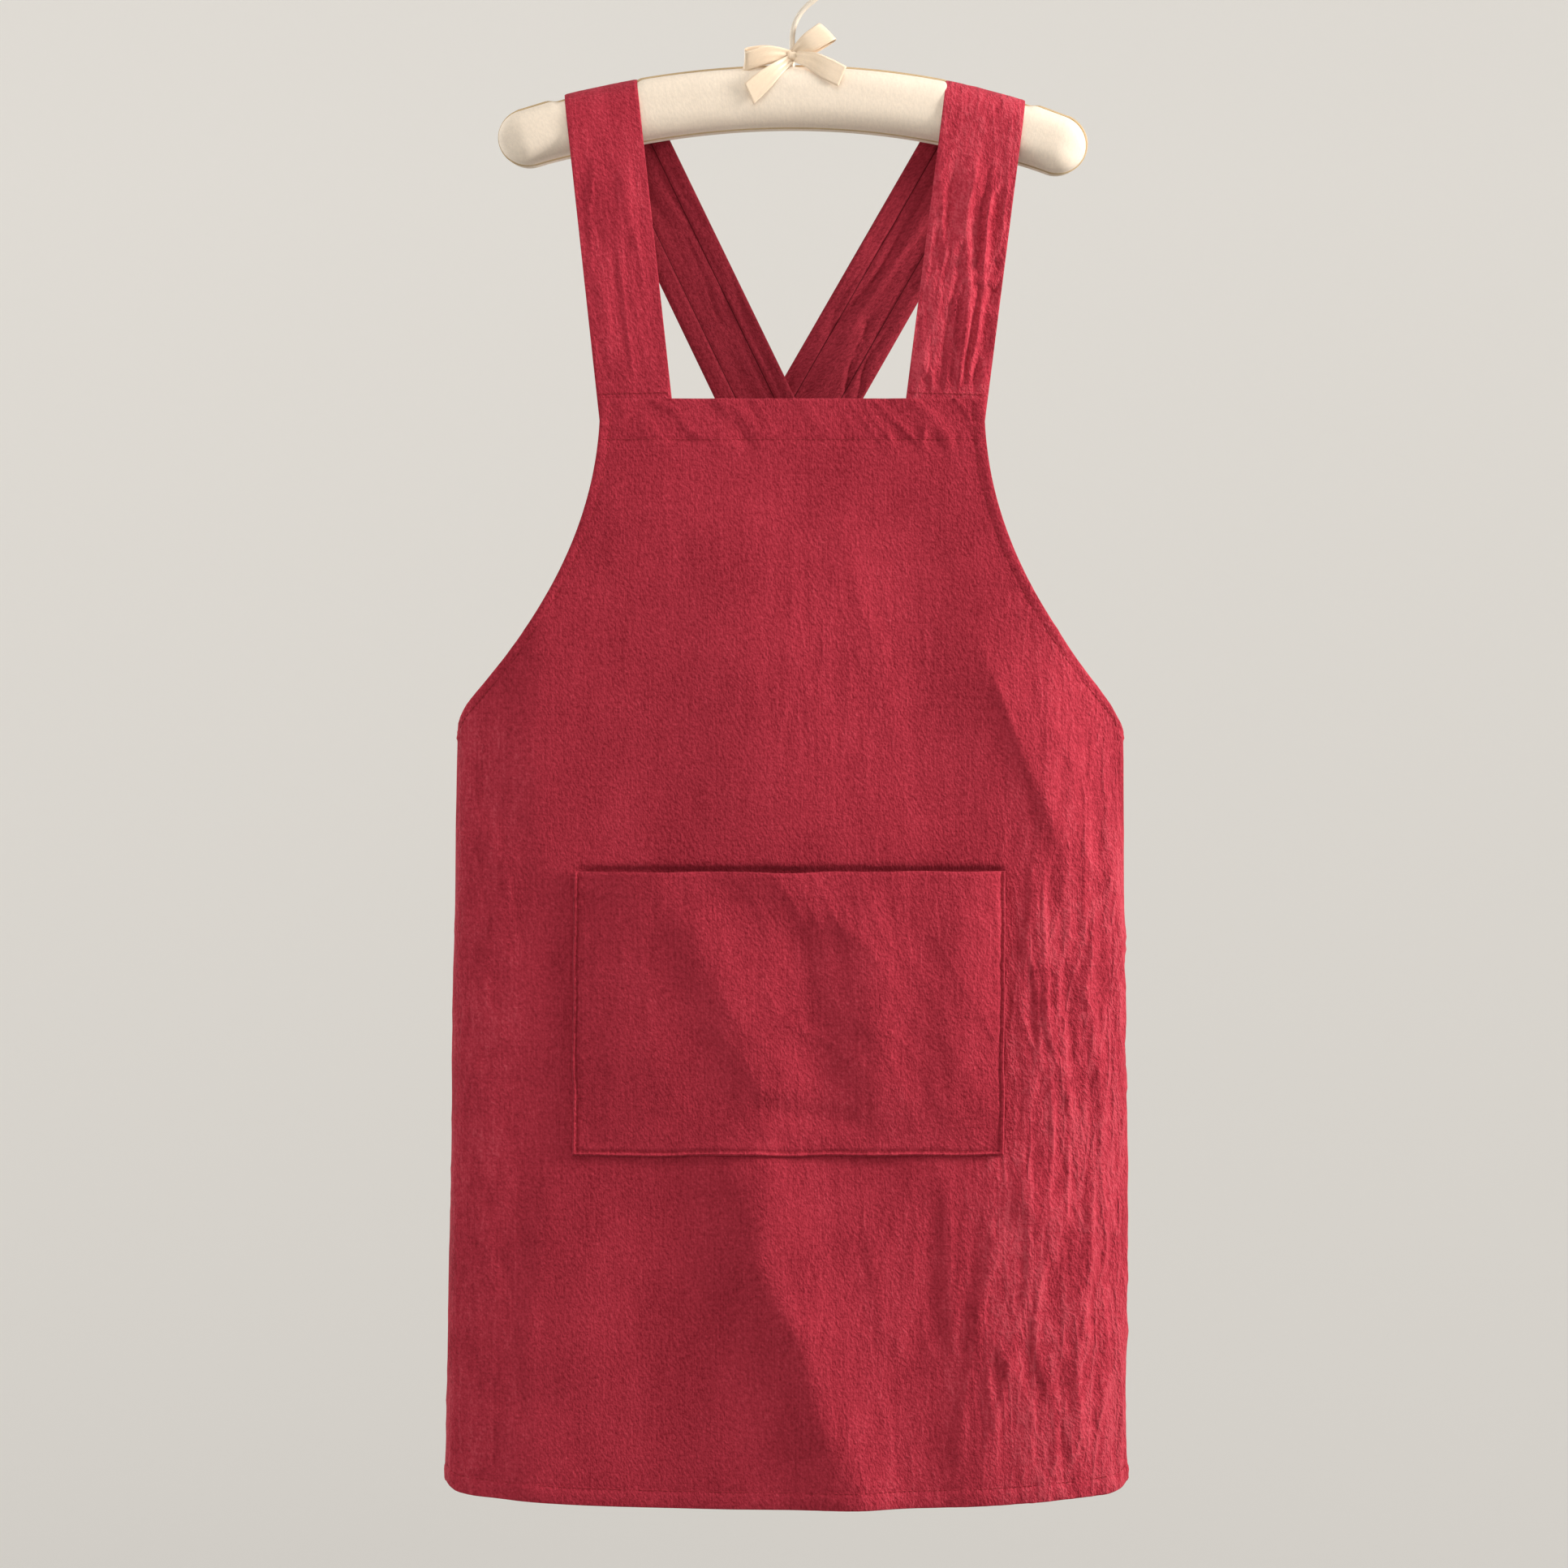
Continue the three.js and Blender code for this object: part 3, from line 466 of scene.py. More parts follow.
def cut_of(scene):
    """The apron's cut and hang, worked out from the sizes that a user can set."""
    apron, hanger, look = scene.apron_sizes, scene.hanger_sizes, scene.cloth_look
    gap = 0.3 * MM
    wall = 1.2 * MM
    strap_wall = 1.6 * MM
    cut = SimpleNamespace(apron=apron, hanger=hanger, look=look, gap=gap, strap_wall=strap_wall)
    cut.half_height = hanger.height / 2
    cut.half_depth = hanger.depth / 2
    cut.pad_half = cut.half_height - hanger.piping - gap
    cut.strap_depth = cut.half_depth + gap + strap_wall / 2
    over_strap = strap_wall / 2 + gap + wall / 2
    cut.bib_depth = cut.strap_depth + over_strap
    cut.back_depth = cut.bib_depth - 2 * gap - wall
    cut.facing_offset = -(strap_wall + 2 * gap + wall)
    cut.strap_end_depth = cut.back_depth - (strap_wall / 2 + gap + MM)
    cut.pocket_offset = wall + gap
    cut.middle = (cut.back_depth - cut.bib_depth) / 2
    cut.band_drop = apron.bib_drop + apron.band_height
    cut.tall = apron.hem_drop - apron.bib_drop
    radius, flat = section(cut, apron.side_drop)
    cut.quarter = radius * math.pi / 2
    cut.side_across = flat + cut.quarter
    cut.free_across = cut.side_across + cut.quarter + flat - apron.back_opening / 2
    return cut


def section(cut, drop):
    """The side folds' radius and half the flat width between them, at a drop."""
    apron = cut.apron
    down = np.clip((drop - apron.side_drop) / (apron.hem_drop - apron.side_drop), 0, None)
    radius = (cut.bib_depth + cut.back_depth + apron.hem_deepening * smooth(down, 0, 1)) / 2
    return radius, (apron.skirt_width + apron.skirt_flare * down) / 2 - radius


def armhole_across(cut, drop):
    """Half the bib's width at a drop."""
    apron = cut.apron
    share = np.clip((drop - apron.bib_drop) / (apron.side_drop - apron.bib_drop), 0, 1)
    return apron.bib_width / 2 + (cut.side_across - apron.bib_width / 2) * share**apron.armhole_curve


def top_drop(cut, across):
    """The back panels' top edge."""
    return cut.apron.side_drop + cut.apron.back_dip * smooth(
        np.abs(across), cut.side_across, cut.side_across + cut.quarter
    )


def bottom_drop(cut, across):
    """The hem, which rises to the sides and a little more where the cloth folds back."""
    out = np.abs(across)
    rise = cut.apron.hem_rise * np.minimum(1, out / cut.side_across) ** 2.5
    return cut.apron.hem_drop - rise - cut.apron.corner_rise * bump(out, cut.side_across + 4 * MM, 13 * MM)


def rest_point(cut, across, drop):
    """The cloth's middle before its folds: flat in front, round at the sides, flat behind."""
    across, drop = np.broadcast_arrays(across, drop)
    radius, flat = section(cut, drop)
    out = np.abs(across)
    turn = np.clip((out - flat) / radius, 0, math.pi)
    beyond = np.clip(out - flat - math.pi * radius, 0, None)
    inside = np.minimum(out, flat)
    bow = cut.apron.front_bow * smooth(drop, cut.band_drop, cut.apron.side_drop) * (1 - (inside / flat) ** 2)
    x = np.sign(across) * (inside + radius * np.sin(turn) - beyond)
    roll = 1 - cut.apron.side_roll * smooth(out, flat - 38 * MM, flat + 14 * MM) * (np.cos(turn) > 0)
    y = cut.middle - radius * np.cos(turn) * roll - np.where(out <= flat, bow, 0)
    sway = cut.apron.sway * np.clip((drop - cut.band_drop) / cut.tall, 0, None)
    return np.stack([x - sway, y, -drop], -1)


def distance_to(start, end, across, drop):
    """How far places on the cloth lie from a straight line between two others."""
    line = end - start
    share = np.clip(((across - start[0]) * line[0] + (drop - start[1]) * line[1]) / (line @ line), 0, 1)
    return np.hypot(across - start[0] - share * line[0], drop - start[1] - share * line[1])


def sharp_crest(away):
    """A ridge's height at a distance in widths, with hardly any round at its crest."""
    return np.exp(-np.hypot(away, 0.15) + 0.15)


def ridge_height(rows, wide, top, tall, across, drop, sharp=False):
    """The height of a table of ridges and hollows at places on a cloth of that width, top and height,
    with round or sharp crests."""
    height = np.zeros(np.broadcast(across, drop).shape)
    for row in rows.values():
        ridge = dict(zip(FOLD_COLUMNS, row))
        start = np.array([ridge["from_across"] * wide / 2, top + ridge["from_down"] * tall])
        end = np.array([ridge["to_across"] * wide / 2, top + ridge["to_down"] * tall])
        away = distance_to(start, end, across, drop) / (ridge["width"] * wide)
        height += ridge["height"] * wide * (sharp_crest(away) if sharp else np.exp(-(away**2)))
    return height


def thin_creases(cut, across, drop):
    """The height of the long thin creases."""
    wide = cut.apron.skirt_width
    height = np.zeros(np.broadcast(across, drop).shape)
    for width, rise, *stops in THIN_CREASES.values():
        stops = np.array(stops) * (wide / 2, cut.tall) + (0, cut.apron.bib_drop)
        near = [distance_to(stops[i], stops[i + 1], across, drop) for i in range(len(stops) - 1)]
        ends = [np.hypot(across - stop[0], drop - stop[1]) for stop in (stops[0], stops[-1])]
        fade = smooth(np.minimum(*ends), 0, 25 * MM)
        height += rise * wide * fade * sharp_crest(np.min(near, axis=0) / (width * wide))
    return height


def calm_of(cut, across, drop):
    """How free the cloth is to fold: 0 at the bands that the straps are sewn into, 1 elsewhere."""
    band = cut.apron.band_height
    front = smooth(drop, cut.band_drop, cut.band_drop + 2 * band)
    back = smooth(drop, cut.apron.side_drop + 48 * MM, cut.apron.side_drop + 120 * MM)
    return front * np.where(np.abs(across) > cut.apron.skirt_width / 2, back, 1)


def fold_point(cut, across, drop):
    """The cloth with its main folds, which the pocket lies on too."""
    across, drop = np.broadcast_arrays(across, drop)
    normal = normals_of(lambda a, d: rest_point(cut, a, d), across, drop)
    folds = ridge_height(FOLDS, cut.apron.skirt_width, cut.apron.bib_drop, cut.tall, across, drop)
    lift = calm_of(cut, across, drop) * folds
    return rest_point(cut, across, drop) + normal * lift[..., None]


def under_pocket(cut, across, drop):
    """1 where the pocket covers the front, 0 elsewhere."""
    apron = cut.apron
    beside = smooth(np.abs(across), apron.pocket_width / 2 + 3 * MM, apron.pocket_width / 2 - 2 * MM)
    foot = apron.pocket_drop + apron.pocket_height
    return beside * smooth(drop, apron.pocket_drop - 3 * MM, apron.pocket_drop + 2 * MM) * smooth(
        drop, foot + 3 * MM, foot - 2 * MM
    )


def behind_mouth(cut, across, drop):
    """How far the front falls back behind the pocket's open mouth."""
    mouth = cut.apron.pocket_drop
    beside = smooth(cut.apron.pocket_width / 2 - np.abs(across), 0, 6 * MM)
    below = smooth(drop, mouth - 5 * MM, mouth) * smooth(drop, mouth + 60 * MM, mouth + 5 * MM)
    return 2.6 * MM * beside * below


def body_crumple(cut, across, drop):
    """How creased the cloth is, from 0 to 1, which also sets how much its crease crests are painted
    lighter: smooth at the lower left and most down the right side.
    """
    right = smooth(across + 0.02 * noise(across / 0.05, drop / 0.09, cut.look.seed + 25), 0.085, 0.185)
    below = smooth(drop, 0.7, 0.85) * smooth(across, -0.05, 0.06)
    edge = 0.45 * smooth(-across, 0.15, 0.19) * smooth(drop, 0.42, 0.5)
    right = right * (0.45 + 0.55 * smooth(drop + 0.4 * across, 0.58, 0.72))
    bib = 0.25 * bump(across, 0.04, 0.06) * bump(drop, 0.47, 0.08)
    return cut.look.crinkle * np.clip(0.12 + 0.95 * right + 0.32 * below * (1 - right) + edge + bib, 0, 1)


def hip_fold(cut, across, drop):
    """How far the front falls back on both sides of the slanting fold at the right of the waist."""
    line = HIP_FOLD
    slope = (line.to_across - line.from_across) / (line.to_drop - line.from_drop)
    beside = across - line.from_across - slope * (drop - line.from_drop)
    flat = section(cut, drop)[1]
    starting = smooth(drop, line.from_drop - 50 * MM, line.from_drop)
    along = starting * smooth(drop, line.to_drop + 90 * MM, line.to_drop)
    behind = line.fall * np.maximum(0, beside) - line.crest * np.exp(np.minimum(0, beside) / line.round)
    return along * behind * smooth(across, flat + 30 * MM, flat + 8 * MM)


def body_crinkle(cut, across, drop):
    """The washed cloth's creases: fine ones all over, deep ones down the right side."""
    seed = cut.look.seed
    right = body_crumple(cut, across, drop)
    skirt = smooth(drop, 0.55, 0.75)
    fine = small_creases("body_fine", across, drop, seed)
    broad = small_creases("body_broad", across, drop, seed + 10)
    slack = noise(across / 0.05, drop / 0.16, seed + 20)
    height = 0.4 * MM * fine * (0.5 + right) + 1.7 * MM * broad * right**1.3
    height += 0.8 * MM * slack * (0.6 + 0.2 * skirt)
    wander = 4 * MM * noise(across / 0.03, drop / 0.035, seed + 26)
    height += ridge_height(
        CREASES, cut.apron.skirt_width, cut.apron.bib_drop, cut.tall, across + wander, drop, sharp=True
    )
    height += thin_creases(cut, across + 0.4 * wander, drop)
    height *= 0.14 + 0.86 * calm_of(cut, across, drop)
    height -= hip_fold(cut, across, drop)
    slant = small_creases("band_slant", across - 0.7 * drop, drop + 0.5 * across, seed + 27)
    at_ends = 0.25 + 0.75 * np.maximum(bump(across, -0.055, 0.05), bump(across, 0.085, 0.03))
    at_ends = at_ends * smooth(armhole_across(cut, drop) - np.abs(across), 2 * MM, 12 * MM)
    height += 1.5 * MM * slant * at_ends * smooth(drop, cut.band_drop + 12 * MM, cut.band_drop - 2 * MM)
    return cut.look.crinkle * height * (1 - under_pocket(cut, across, drop)) - behind_mouth(cut, across, drop)


def body_point(cut, across, drop):
    """The cloth with all its folds and creases."""
    across, drop = np.broadcast_arrays(across, drop)
    normal = normals_of(lambda a, d: fold_point(cut, a, d), across, drop)
    return fold_point(cut, across, drop) + normal * body_crinkle(cut, across, drop)[..., None]


# The apron's body


def seam_relief(cut, from_seam, run, seed):
    """The puckers beside a line of stitches and the groove that it pulls into the cloth."""
    pucker = 0.45 * MM * noise(run / (3.6 * MM), from_seam / (14 * MM), seed) * bump(from_seam, 0, 7 * MM)
    groove = 0.42 * MM * bump(from_seam, 0, 1.1 * MM)
    return cut.look.crinkle * pucker - groove


def hem_rows(width):
    """Distances from an edge that follow a hem: its round edge and its line of stitches."""
    return np.array([0, 0.5, 1.6, width / MM - 4, width / MM - 1.4, width / MM, width / MM + 1.4]) * MM


def body_grid(cut):
    """Places across and down of the body's points, its cells, and how far each point is from the
    hem, the free edges and the armholes."""
    apron = cut.apron
    edge_columns = hem_rows(apron.armhole_hem)[::-1]
    band = edge_columns[0]
    inner = stepped((-1, -0.75, 0.2, 0.5, 1), (16, 44, 24, 92))
    side = np.ones(len(edge_columns) - 1)
    shares = np.concatenate([-side, inner, side])
    extra = np.concatenate([(edge_columns[1:] - band)[::-1], 0 * inner, band - edge_columns[1:]])

    bib_drops = np.concatenate([
        apron.bib_drop + np.array([0, 0.5, 1.6]) * MM,
        np.linspace(apron.bib_drop + 3.2 * MM, cut.band_drop - 3 * MM, 12),
        cut.band_drop + np.array([-1.4, 0, 1.4]) * MM,
        np.linspace(cut.band_drop + 4.5 * MM, apron.side_drop, 46)[:-1],
    ])
    bib_edge = armhole_across(cut, bib_drops)
    bib_across = (bib_edge[:, None] - band) * shares + extra
    bib_drop = np.meshgrid(shares, bib_drops)[1]

    free_columns = hem_rows(apron.hem_width)[::-1]
    round_side = (cut.side_across, cut.side_across + cut.quarter, cut.free_across - free_columns[0])
    back = np.concatenate([stepped(round_side, (9, 13))[1:-1], cut.free_across - free_columns])
    skirt_across = np.concatenate([-back[::-1], (cut.side_across - band) * shares + extra, back])
    top_rows = apron.side_drop + hem_rows(apron.armhole_hem)
    low_rows = apron.hem_drop - hem_rows(apron.hem_width)[::-1]
    mouth = apron.pocket_drop + np.array([-7.5, -5, -3.6, -2.4, -1.2, 0, 2]) * MM
    above_mouth = np.linspace(top_rows[-1], mouth[0], 14)[1:-1]
    below_mouth = np.linspace(mouth[-1], low_rows[0], 98)[1:-1]
    rows = np.concatenate([top_rows, above_mouth, mouth, below_mouth, low_rows])
    across = np.meshgrid(skirt_across, rows)[0]
    near_top = np.clip((apron.pocket_drop - rows) / (apron.pocket_drop - apron.side_drop), 0, 1)
    near_hem = smooth(rows, apron.pocket_drop + apron.pocket_height, apron.hem_drop - apron.hem_width)
    drop = (
        rows[:, None]
        + near_top[:, None] * (top_drop(cut, skirt_across) - apron.side_drop)
        + near_hem[:, None] * (bottom_drop(cut, skirt_across) - apron.hem_drop)
    )

    bib_count, skirt_count, bib_rows = len(shares), len(skirt_across), len(bib_drops)
    first_skirt = bib_count * bib_rows
    joining = np.arange(bib_count) + first_skirt + len(back)
    last_bib = np.arange(bib_count) + first_skirt - bib_count
    bridge = np.stack([last_bib[:-1], joining[:-1], joining[1:], last_bib[1:]], -1)
    cells = np.concatenate(
        [grid_cells(bib_count, bib_rows), bridge, grid_cells(skirt_count, len(rows), first_skirt)]
    )

    far = 1.0
    from_armhole = np.concatenate(
        [
            (bib_edge[:, None] - np.abs(bib_across)).ravel(),
            np.where(np.abs(across) > cut.side_across - band, (rows - apron.side_drop)[:, None], far).ravel(),
        ]
    )
    from_hem = np.concatenate([np.full(bib_across.size, far), np.repeat(apron.hem_drop - rows, skirt_count)])
    from_free = np.concatenate([np.full(bib_across.size, far), (cut.free_across - np.abs(across)).ravel()])
    flat_across = np.concatenate([bib_across.ravel(), across.ravel()])
    flat_drop = np.concatenate([bib_drop.ravel(), drop.ravel()])
    return flat_across, flat_drop, cells, from_hem, from_free, from_armhole


def turned_in(from_edge, width):
    """1 where a hem of that width lies double, 0 beyond it."""
    return smooth(from_edge, width + 0.8 * MM, width - 0.8 * MM)


def make_body(cut, material):
    """The apron's one cut of cloth, with its hems turned in and its seams drawn together."""
    apron = cut.apron
    across, drop, cells, from_hem, from_free, from_armhole = body_grid(cut)
    normal = normals_of(lambda a, d: body_point(cut, a, d), across, drop)
    seed = cut.look.seed
    lift = seam_relief(cut, from_hem - apron.hem_width, across, seed + 31)
    lift += seam_relief(cut, from_free - apron.hem_width, drop, seed + 32)
    lift += seam_relief(cut, from_armhole - apron.armhole_hem, drop, seed + 33)
    lift += 0.9 * seam_relief(cut, drop - cut.band_drop, across, seed + 34) * (drop < apron.side_drop)
    middle = body_point(cut, across, drop) + normal * lift[:, None]

    hem = np.maximum(turned_in(from_hem, apron.hem_width), turned_in(from_free, apron.hem_width))
    hem = np.maximum(hem, turned_in(from_armhole, apron.armhole_hem))
    edge = np.minimum(from_hem, from_free)
    edge = np.minimum(edge, np.minimum(from_armhole, np.abs(drop - apron.bib_drop)))
    round_off = 0.35 + 0.65 * smooth(edge, 0, 1.5 * MM)
    outside = (apron.cloth / 2 + 0.3 * MM * hem) * round_off
    inside = (apron.cloth / 2 + 0.8 * MM * hem) * round_off
    uv = np.stack([across + 0.5, 1 - drop], -1)
    crumple = body_crumple(cut, across, drop)
    body = wall_piece("apron_cloth", middle, normal, outside, inside, cells, uv, material, crumple)
    finish_piece(body, "apron_cloth", "apron_body")
    return body


def make_facing(cut, material):
    """The turned band behind the bib's top edge."""
    apron = cut.apron
    foot = apron.band_height / MM
    steps = np.concatenate([[0.3, 0.9], np.linspace(3, foot - 2, 9), [foot - 0.6, foot]])
    drops = apron.bib_drop + steps * MM
    shares = np.linspace(-1, 1, 121)
    across = (armhole_across(cut, drops)[:, None] - apron.armhole_hem) * shares
    drop = np.repeat(drops[:, None], len(shares), 1)
    normal = normals_of(lambda a, d: fold_point(cut, a, d), across, drop)
    seed = cut.look.seed
    relief = 0.12 * MM * small_creases("facing", across, drop, seed + 40)
    relief -= 0.15 * MM * bump(drop, drops[-1] - 2 * MM, MM)
    middle = fold_point(cut, across, drop) + normal * (cut.facing_offset + relief)[..., None]
    half = apron.cloth / 2 * (0.4 + 0.6 * smooth(np.minimum(drop - drops[0], drops[-1] - drop), 0, 0.8 * MM))
    cells = grid_cells(len(shares), len(drops))
    uv = np.stack([across + 0.5, 1 - drop], -1)
    crumple = np.full(across.shape, 0.15)
    facing = wall_piece("bib_band", middle, normal, half, half, cells, uv, material, crumple)
    finish_piece(facing, "apron_cloth", "bib_facing")
    return facing


# The pocket


def pocket_point(cut, across, drop):
    """The pocket's cloth, sewn down at its sides and foot and slack at its mouth."""
    apron = cut.apron
    sideways = np.clip(np.abs(across) / (apron.pocket_width / 2), 0, 1)
    down = np.clip((drop - apron.pocket_drop) / apron.pocket_height, 0, 1)
    belly = apron.pocket_belly * (1 - sideways ** np.where(across < 0, 2.5, 9)) * (1 - down**3)
    seed = cut.look.seed
    fine = small_creases("pocket_fine", across, drop, seed + 50)
    slant = small_creases("pocket_slant", across - 0.45 * drop, drop, seed + 51)
    slack = noise(across / 0.045, drop / 0.06, seed + 52)
    middle = smooth(across, -0.09, 0.03)
    place = (apron.pocket_width, apron.pocket_drop, apron.pocket_height)
    folds = ridge_height(POCKET_FOLDS, *place, across, drop)
    mouth_roll = 0.5 * MM * noise(across / (9 * MM), 0.5, seed + 53) * bump(drop, apron.pocket_drop, 8 * MM)
    relief = 0.3 * MM * fine + 0.7 * MM * slant * (0.25 + 0.75 * middle) + 0.9 * MM * slack + folds
    sewn = smooth(1 - sideways, 0, 0.06) * smooth(1 - down, 0, 0.08)
    lift = cut.pocket_offset + belly + cut.look.crinkle * (relief * (0.15 + 0.85 * sewn) + mouth_roll * sewn)
    aside = 0.7 * MM * noise(drop / 0.021, 0.3, seed + 55) * smooth(sideways, 0.9, 1)
    below = 0.7 * MM * noise(across / 0.027, 0.7, seed + 56) * smooth(np.abs(2 * down - 1), 0.85, 1)
    normal = normals_of(lambda a, d: fold_point(cut, a, d), across + aside, drop + below)
    return fold_point(cut, across + aside, drop + below) + normal * lift[..., None]


# From the pocket's edge to its stitches.
POCKET_SEAM = 2.4 * MM


def make_pocket(cut, material):
    """The patch pocket, with its edges turned under and a deeper hem along its mouth."""
    apron = cut.apron
    half = apron.pocket_width / 2
    edge = np.array([0, 0.4, 0.9, 1.4, 2, 2.6, 3.2, 4]) * MM
    inner_columns = np.linspace(-(half - 5.5 * MM), half - 5.5 * MM, 128)
    columns = np.concatenate([-half + edge, inner_columns, half - edge[::-1]])
    foot = apron.pocket_drop + apron.pocket_height
    mouth = apron.pocket_drop + np.array([0, 0.5, 1.4, 3]) * MM
    inner_rows = np.linspace(apron.pocket_drop + 5 * MM, foot - 5.5 * MM, 84)
    rows = np.concatenate([mouth, inner_rows, foot - edge[::-1]])
    across, drop = np.meshgrid(columns, rows)
    normal = normals_of(lambda a, d: pocket_point(cut, a, d), across, drop)
    from_edge = np.minimum(half - np.abs(across), foot - drop)
    seam = seam_relief(cut, from_edge - POCKET_SEAM, across + drop, cut.look.seed + 54)
    roll = 1.1 * MM * bump(from_edge, 1.1 * MM, 0.9 * MM) - 0.35 * MM * bump(from_edge, 3 * MM, 0.9 * MM)
    middle = pocket_point(cut, across, drop) + normal * (seam + roll)[..., None]
    thick = apron.cloth / 2 + 0.35 * MM * np.maximum(
        smooth(from_edge, 7 * MM, 5 * MM), smooth(drop - apron.pocket_drop, 18 * MM, 16 * MM)
    )
    round_off = 0.35 + 0.65 * smooth(np.minimum(from_edge, drop - apron.pocket_drop), 0, 1.3 * MM)
    thick = thick * round_off
    cells = grid_cells(len(columns), len(rows))
    uv = np.stack([across * 0.97 + 0.53, 1 - drop * 1.01], -1)
    crumple = 0.08 + 0.22 * smooth(across + 0.3 * (drop - 0.65), -0.09, 0.02)
    pocket = wall_piece("pocket_cloth", middle, normal, thick, thick, cells, uv, material, crumple)
    finish_piece(pocket, "apron_cloth", "pocket")
    return pocket


# The straps


# How deep the straps press into the padding.
STRAP_PRESS = 2.2 * MM

# How much of its height the bar loses towards its left (-1) and right (1) end, and where that starts
# and stops, from its middle.
END_TAPERS = {-1: (0.09, 0.110, 0.168), 1: (0.04, 0.130, 0.168)}


def hanger_lean(cut, x):
    """How much lower the bar's right end hangs, and higher its left end."""
    return -cut.hanger.lean * (2 * x / cut.hanger.length) ** 3


def end_taper(x):
    """How much of its height the bar keeps: its left end is a little slimmer than its right."""
    return 1 - sum(lost * smooth(side * x, start, stop) for side, (lost, start, stop) in END_TAPERS.items())


def strap_press(cut, x):
    """How deep the straps press into the padding along the bar."""
    half = cut.apron.strap_width / 2
    pressed = 0 * x
    for name in STRAPS:
        strap = strap_named(name)
        away = np.abs(x - strap.side * strap.over_hanger * cut.hanger.length / 2)
        pressed = np.maximum(pressed, smooth(away, half + 5 * MM, half - 2 * MM))
    return STRAP_PRESS * pressed


def hanger_z(cut, x):
    """The height of the bar's middle."""
    return -cut.hanger.drop - cut.hanger.arc + np.sqrt(cut.hanger.arc**2 - x**2) + hanger_lean(cut, x)


def hanger_slope(cut, x):
    """How steeply the bar falls away from its middle, in radians."""
    return np.arcsin(x / cut.hanger.arc)


def strap_threads(cut, strap, shares):
    """The strap's threads, one for each share of its width from -0.5 to 0.5: a point for each stop
    from the bib, over the hanger and down to the back, and the width that the strap has."""
    apron = cut.apron
    wide = strap.width * apron.strap_width
    over_x = strap.side * strap.over_hanger * cut.hanger.length / 2
    slope = hanger_slope(cut, over_x)
    bib_x = strap.side * (apron.bib_width - wide) / 2
    end_drop = apron.side_drop + apron.back_dip + 24 * MM
    end_inset = apron.back_opening / 2 + strap.back_inset * apron.strap_width
    lean = math.atan((end_inset + wide / 2 + abs(over_x)) / (end_drop - cut.hanger.drop))
    end_half = wide / 2 / math.cos(lean)
    end_x = -strap.side * (end_inset + end_half)
    wrap_height = cut.half_height + cut.gap + cut.strap_wall / 2 - STRAP_PRESS
    dip = strap.crossing_dip * (cut.strap_wall + 5 * cut.gap)
    quarter = np.linspace(0, math.pi / 2, 15)
    threads = []
    for share in shares:
        q = share * wide
        over = over_x + q * math.cos(slope)
        crest = np.array([over, 0, hanger_z(cut, over) + wrap_height / math.cos(hanger_slope(cut, over))])
        foot = np.array([bib_x + q, 0, -(apron.bib_drop + 18 * MM)])
        tail = np.array([end_x + 2 * share * end_half, 0, -(end_drop - MM)])

        def share_at(end, rise):
            part = 0.0
            for _ in range(20):
                at = crest + part * (end - crest)
                high = (at[2] - hanger_z(cut, at[0])) * math.cos(hanger_slope(cut, at[0]))
                part += (high - rise) / (crest[2] - end[2])
            return part

        def on_hanger(end, face):
            stops = []
            for turn in quarter:
                point = crest + share_at(end, wrap_height * math.sin(turn)) * (end - crest)
                point[1] = face * cut.strap_depth * math.cos(turn)
                stops.append(point)
            return np.array(stops)

        front_share, back_share = share_at(foot, 0), share_at(tail, 0)
        front = crest + np.linspace(1, front_share, 75)[:-1, None] * (foot - crest)
        front[:, 1] = -cut.strap_depth
        back_shares = np.linspace(back_share, 1, 150)[1:]
        back = crest + back_shares[:, None] * (tail - crest)
        down = (back_shares - back_share) / (1 - back_share)
        shift = strap.back_shift * apron.strap_width
        back[:, 0] += shift * (1 - down)
        wrap_back = on_hanger(tail, 1)[-2::-1]
        wrap_back[:, 0] += shift * smooth(np.linspace(0, 1, len(wrap_back)), 0.2, 1)
        sewn = smooth(-back[:, 2], apron.side_drop - 48 * MM, apron.side_drop)
        back[:, 1] = cut.strap_depth + sewn * (cut.strap_end_depth - cut.strap_depth)
        back[:, 1] -= dip * np.sin(math.pi * down) ** 2
        threads.append(np.concatenate([front, on_hanger(foot, -1), wrap_back, back]))
    return np.stack(threads, 1), wide


def strap_grid(cut, name):
    """The strap's middle as rows of points along it, their outward normals, the distance along it
    and the distance from its nearer edge."""
    strap = strap_named(name)
    hem = cut.apron.strap_hem / MM
    half = strap.width * cut.apron.strap_width / 2 / MM
    at_hem = [hem - 0.5, hem + 0.5, hem + 1.2, hem + 2]
    half_columns = np.concatenate(
        [[0, 0.5, 1.5], np.linspace(3, hem - 1.6, 6), at_hem, np.linspace(hem + 3.2, half, 8)]
    )
    shares = np.concatenate([half_columns - half, (half - half_columns)[-2::-1]]) / (2 * half)
    points, wide = strap_threads(cut, strap, shares)
    right = np.gradient(points, axis=1)
    ahead = np.gradient(points, axis=0)
    normal = unit(np.cross(right, ahead))
    run = length_along(points[:, len(shares) // 2])
    across, along = np.meshgrid(shares * wide, run)
    return points, normal, across, along, wide


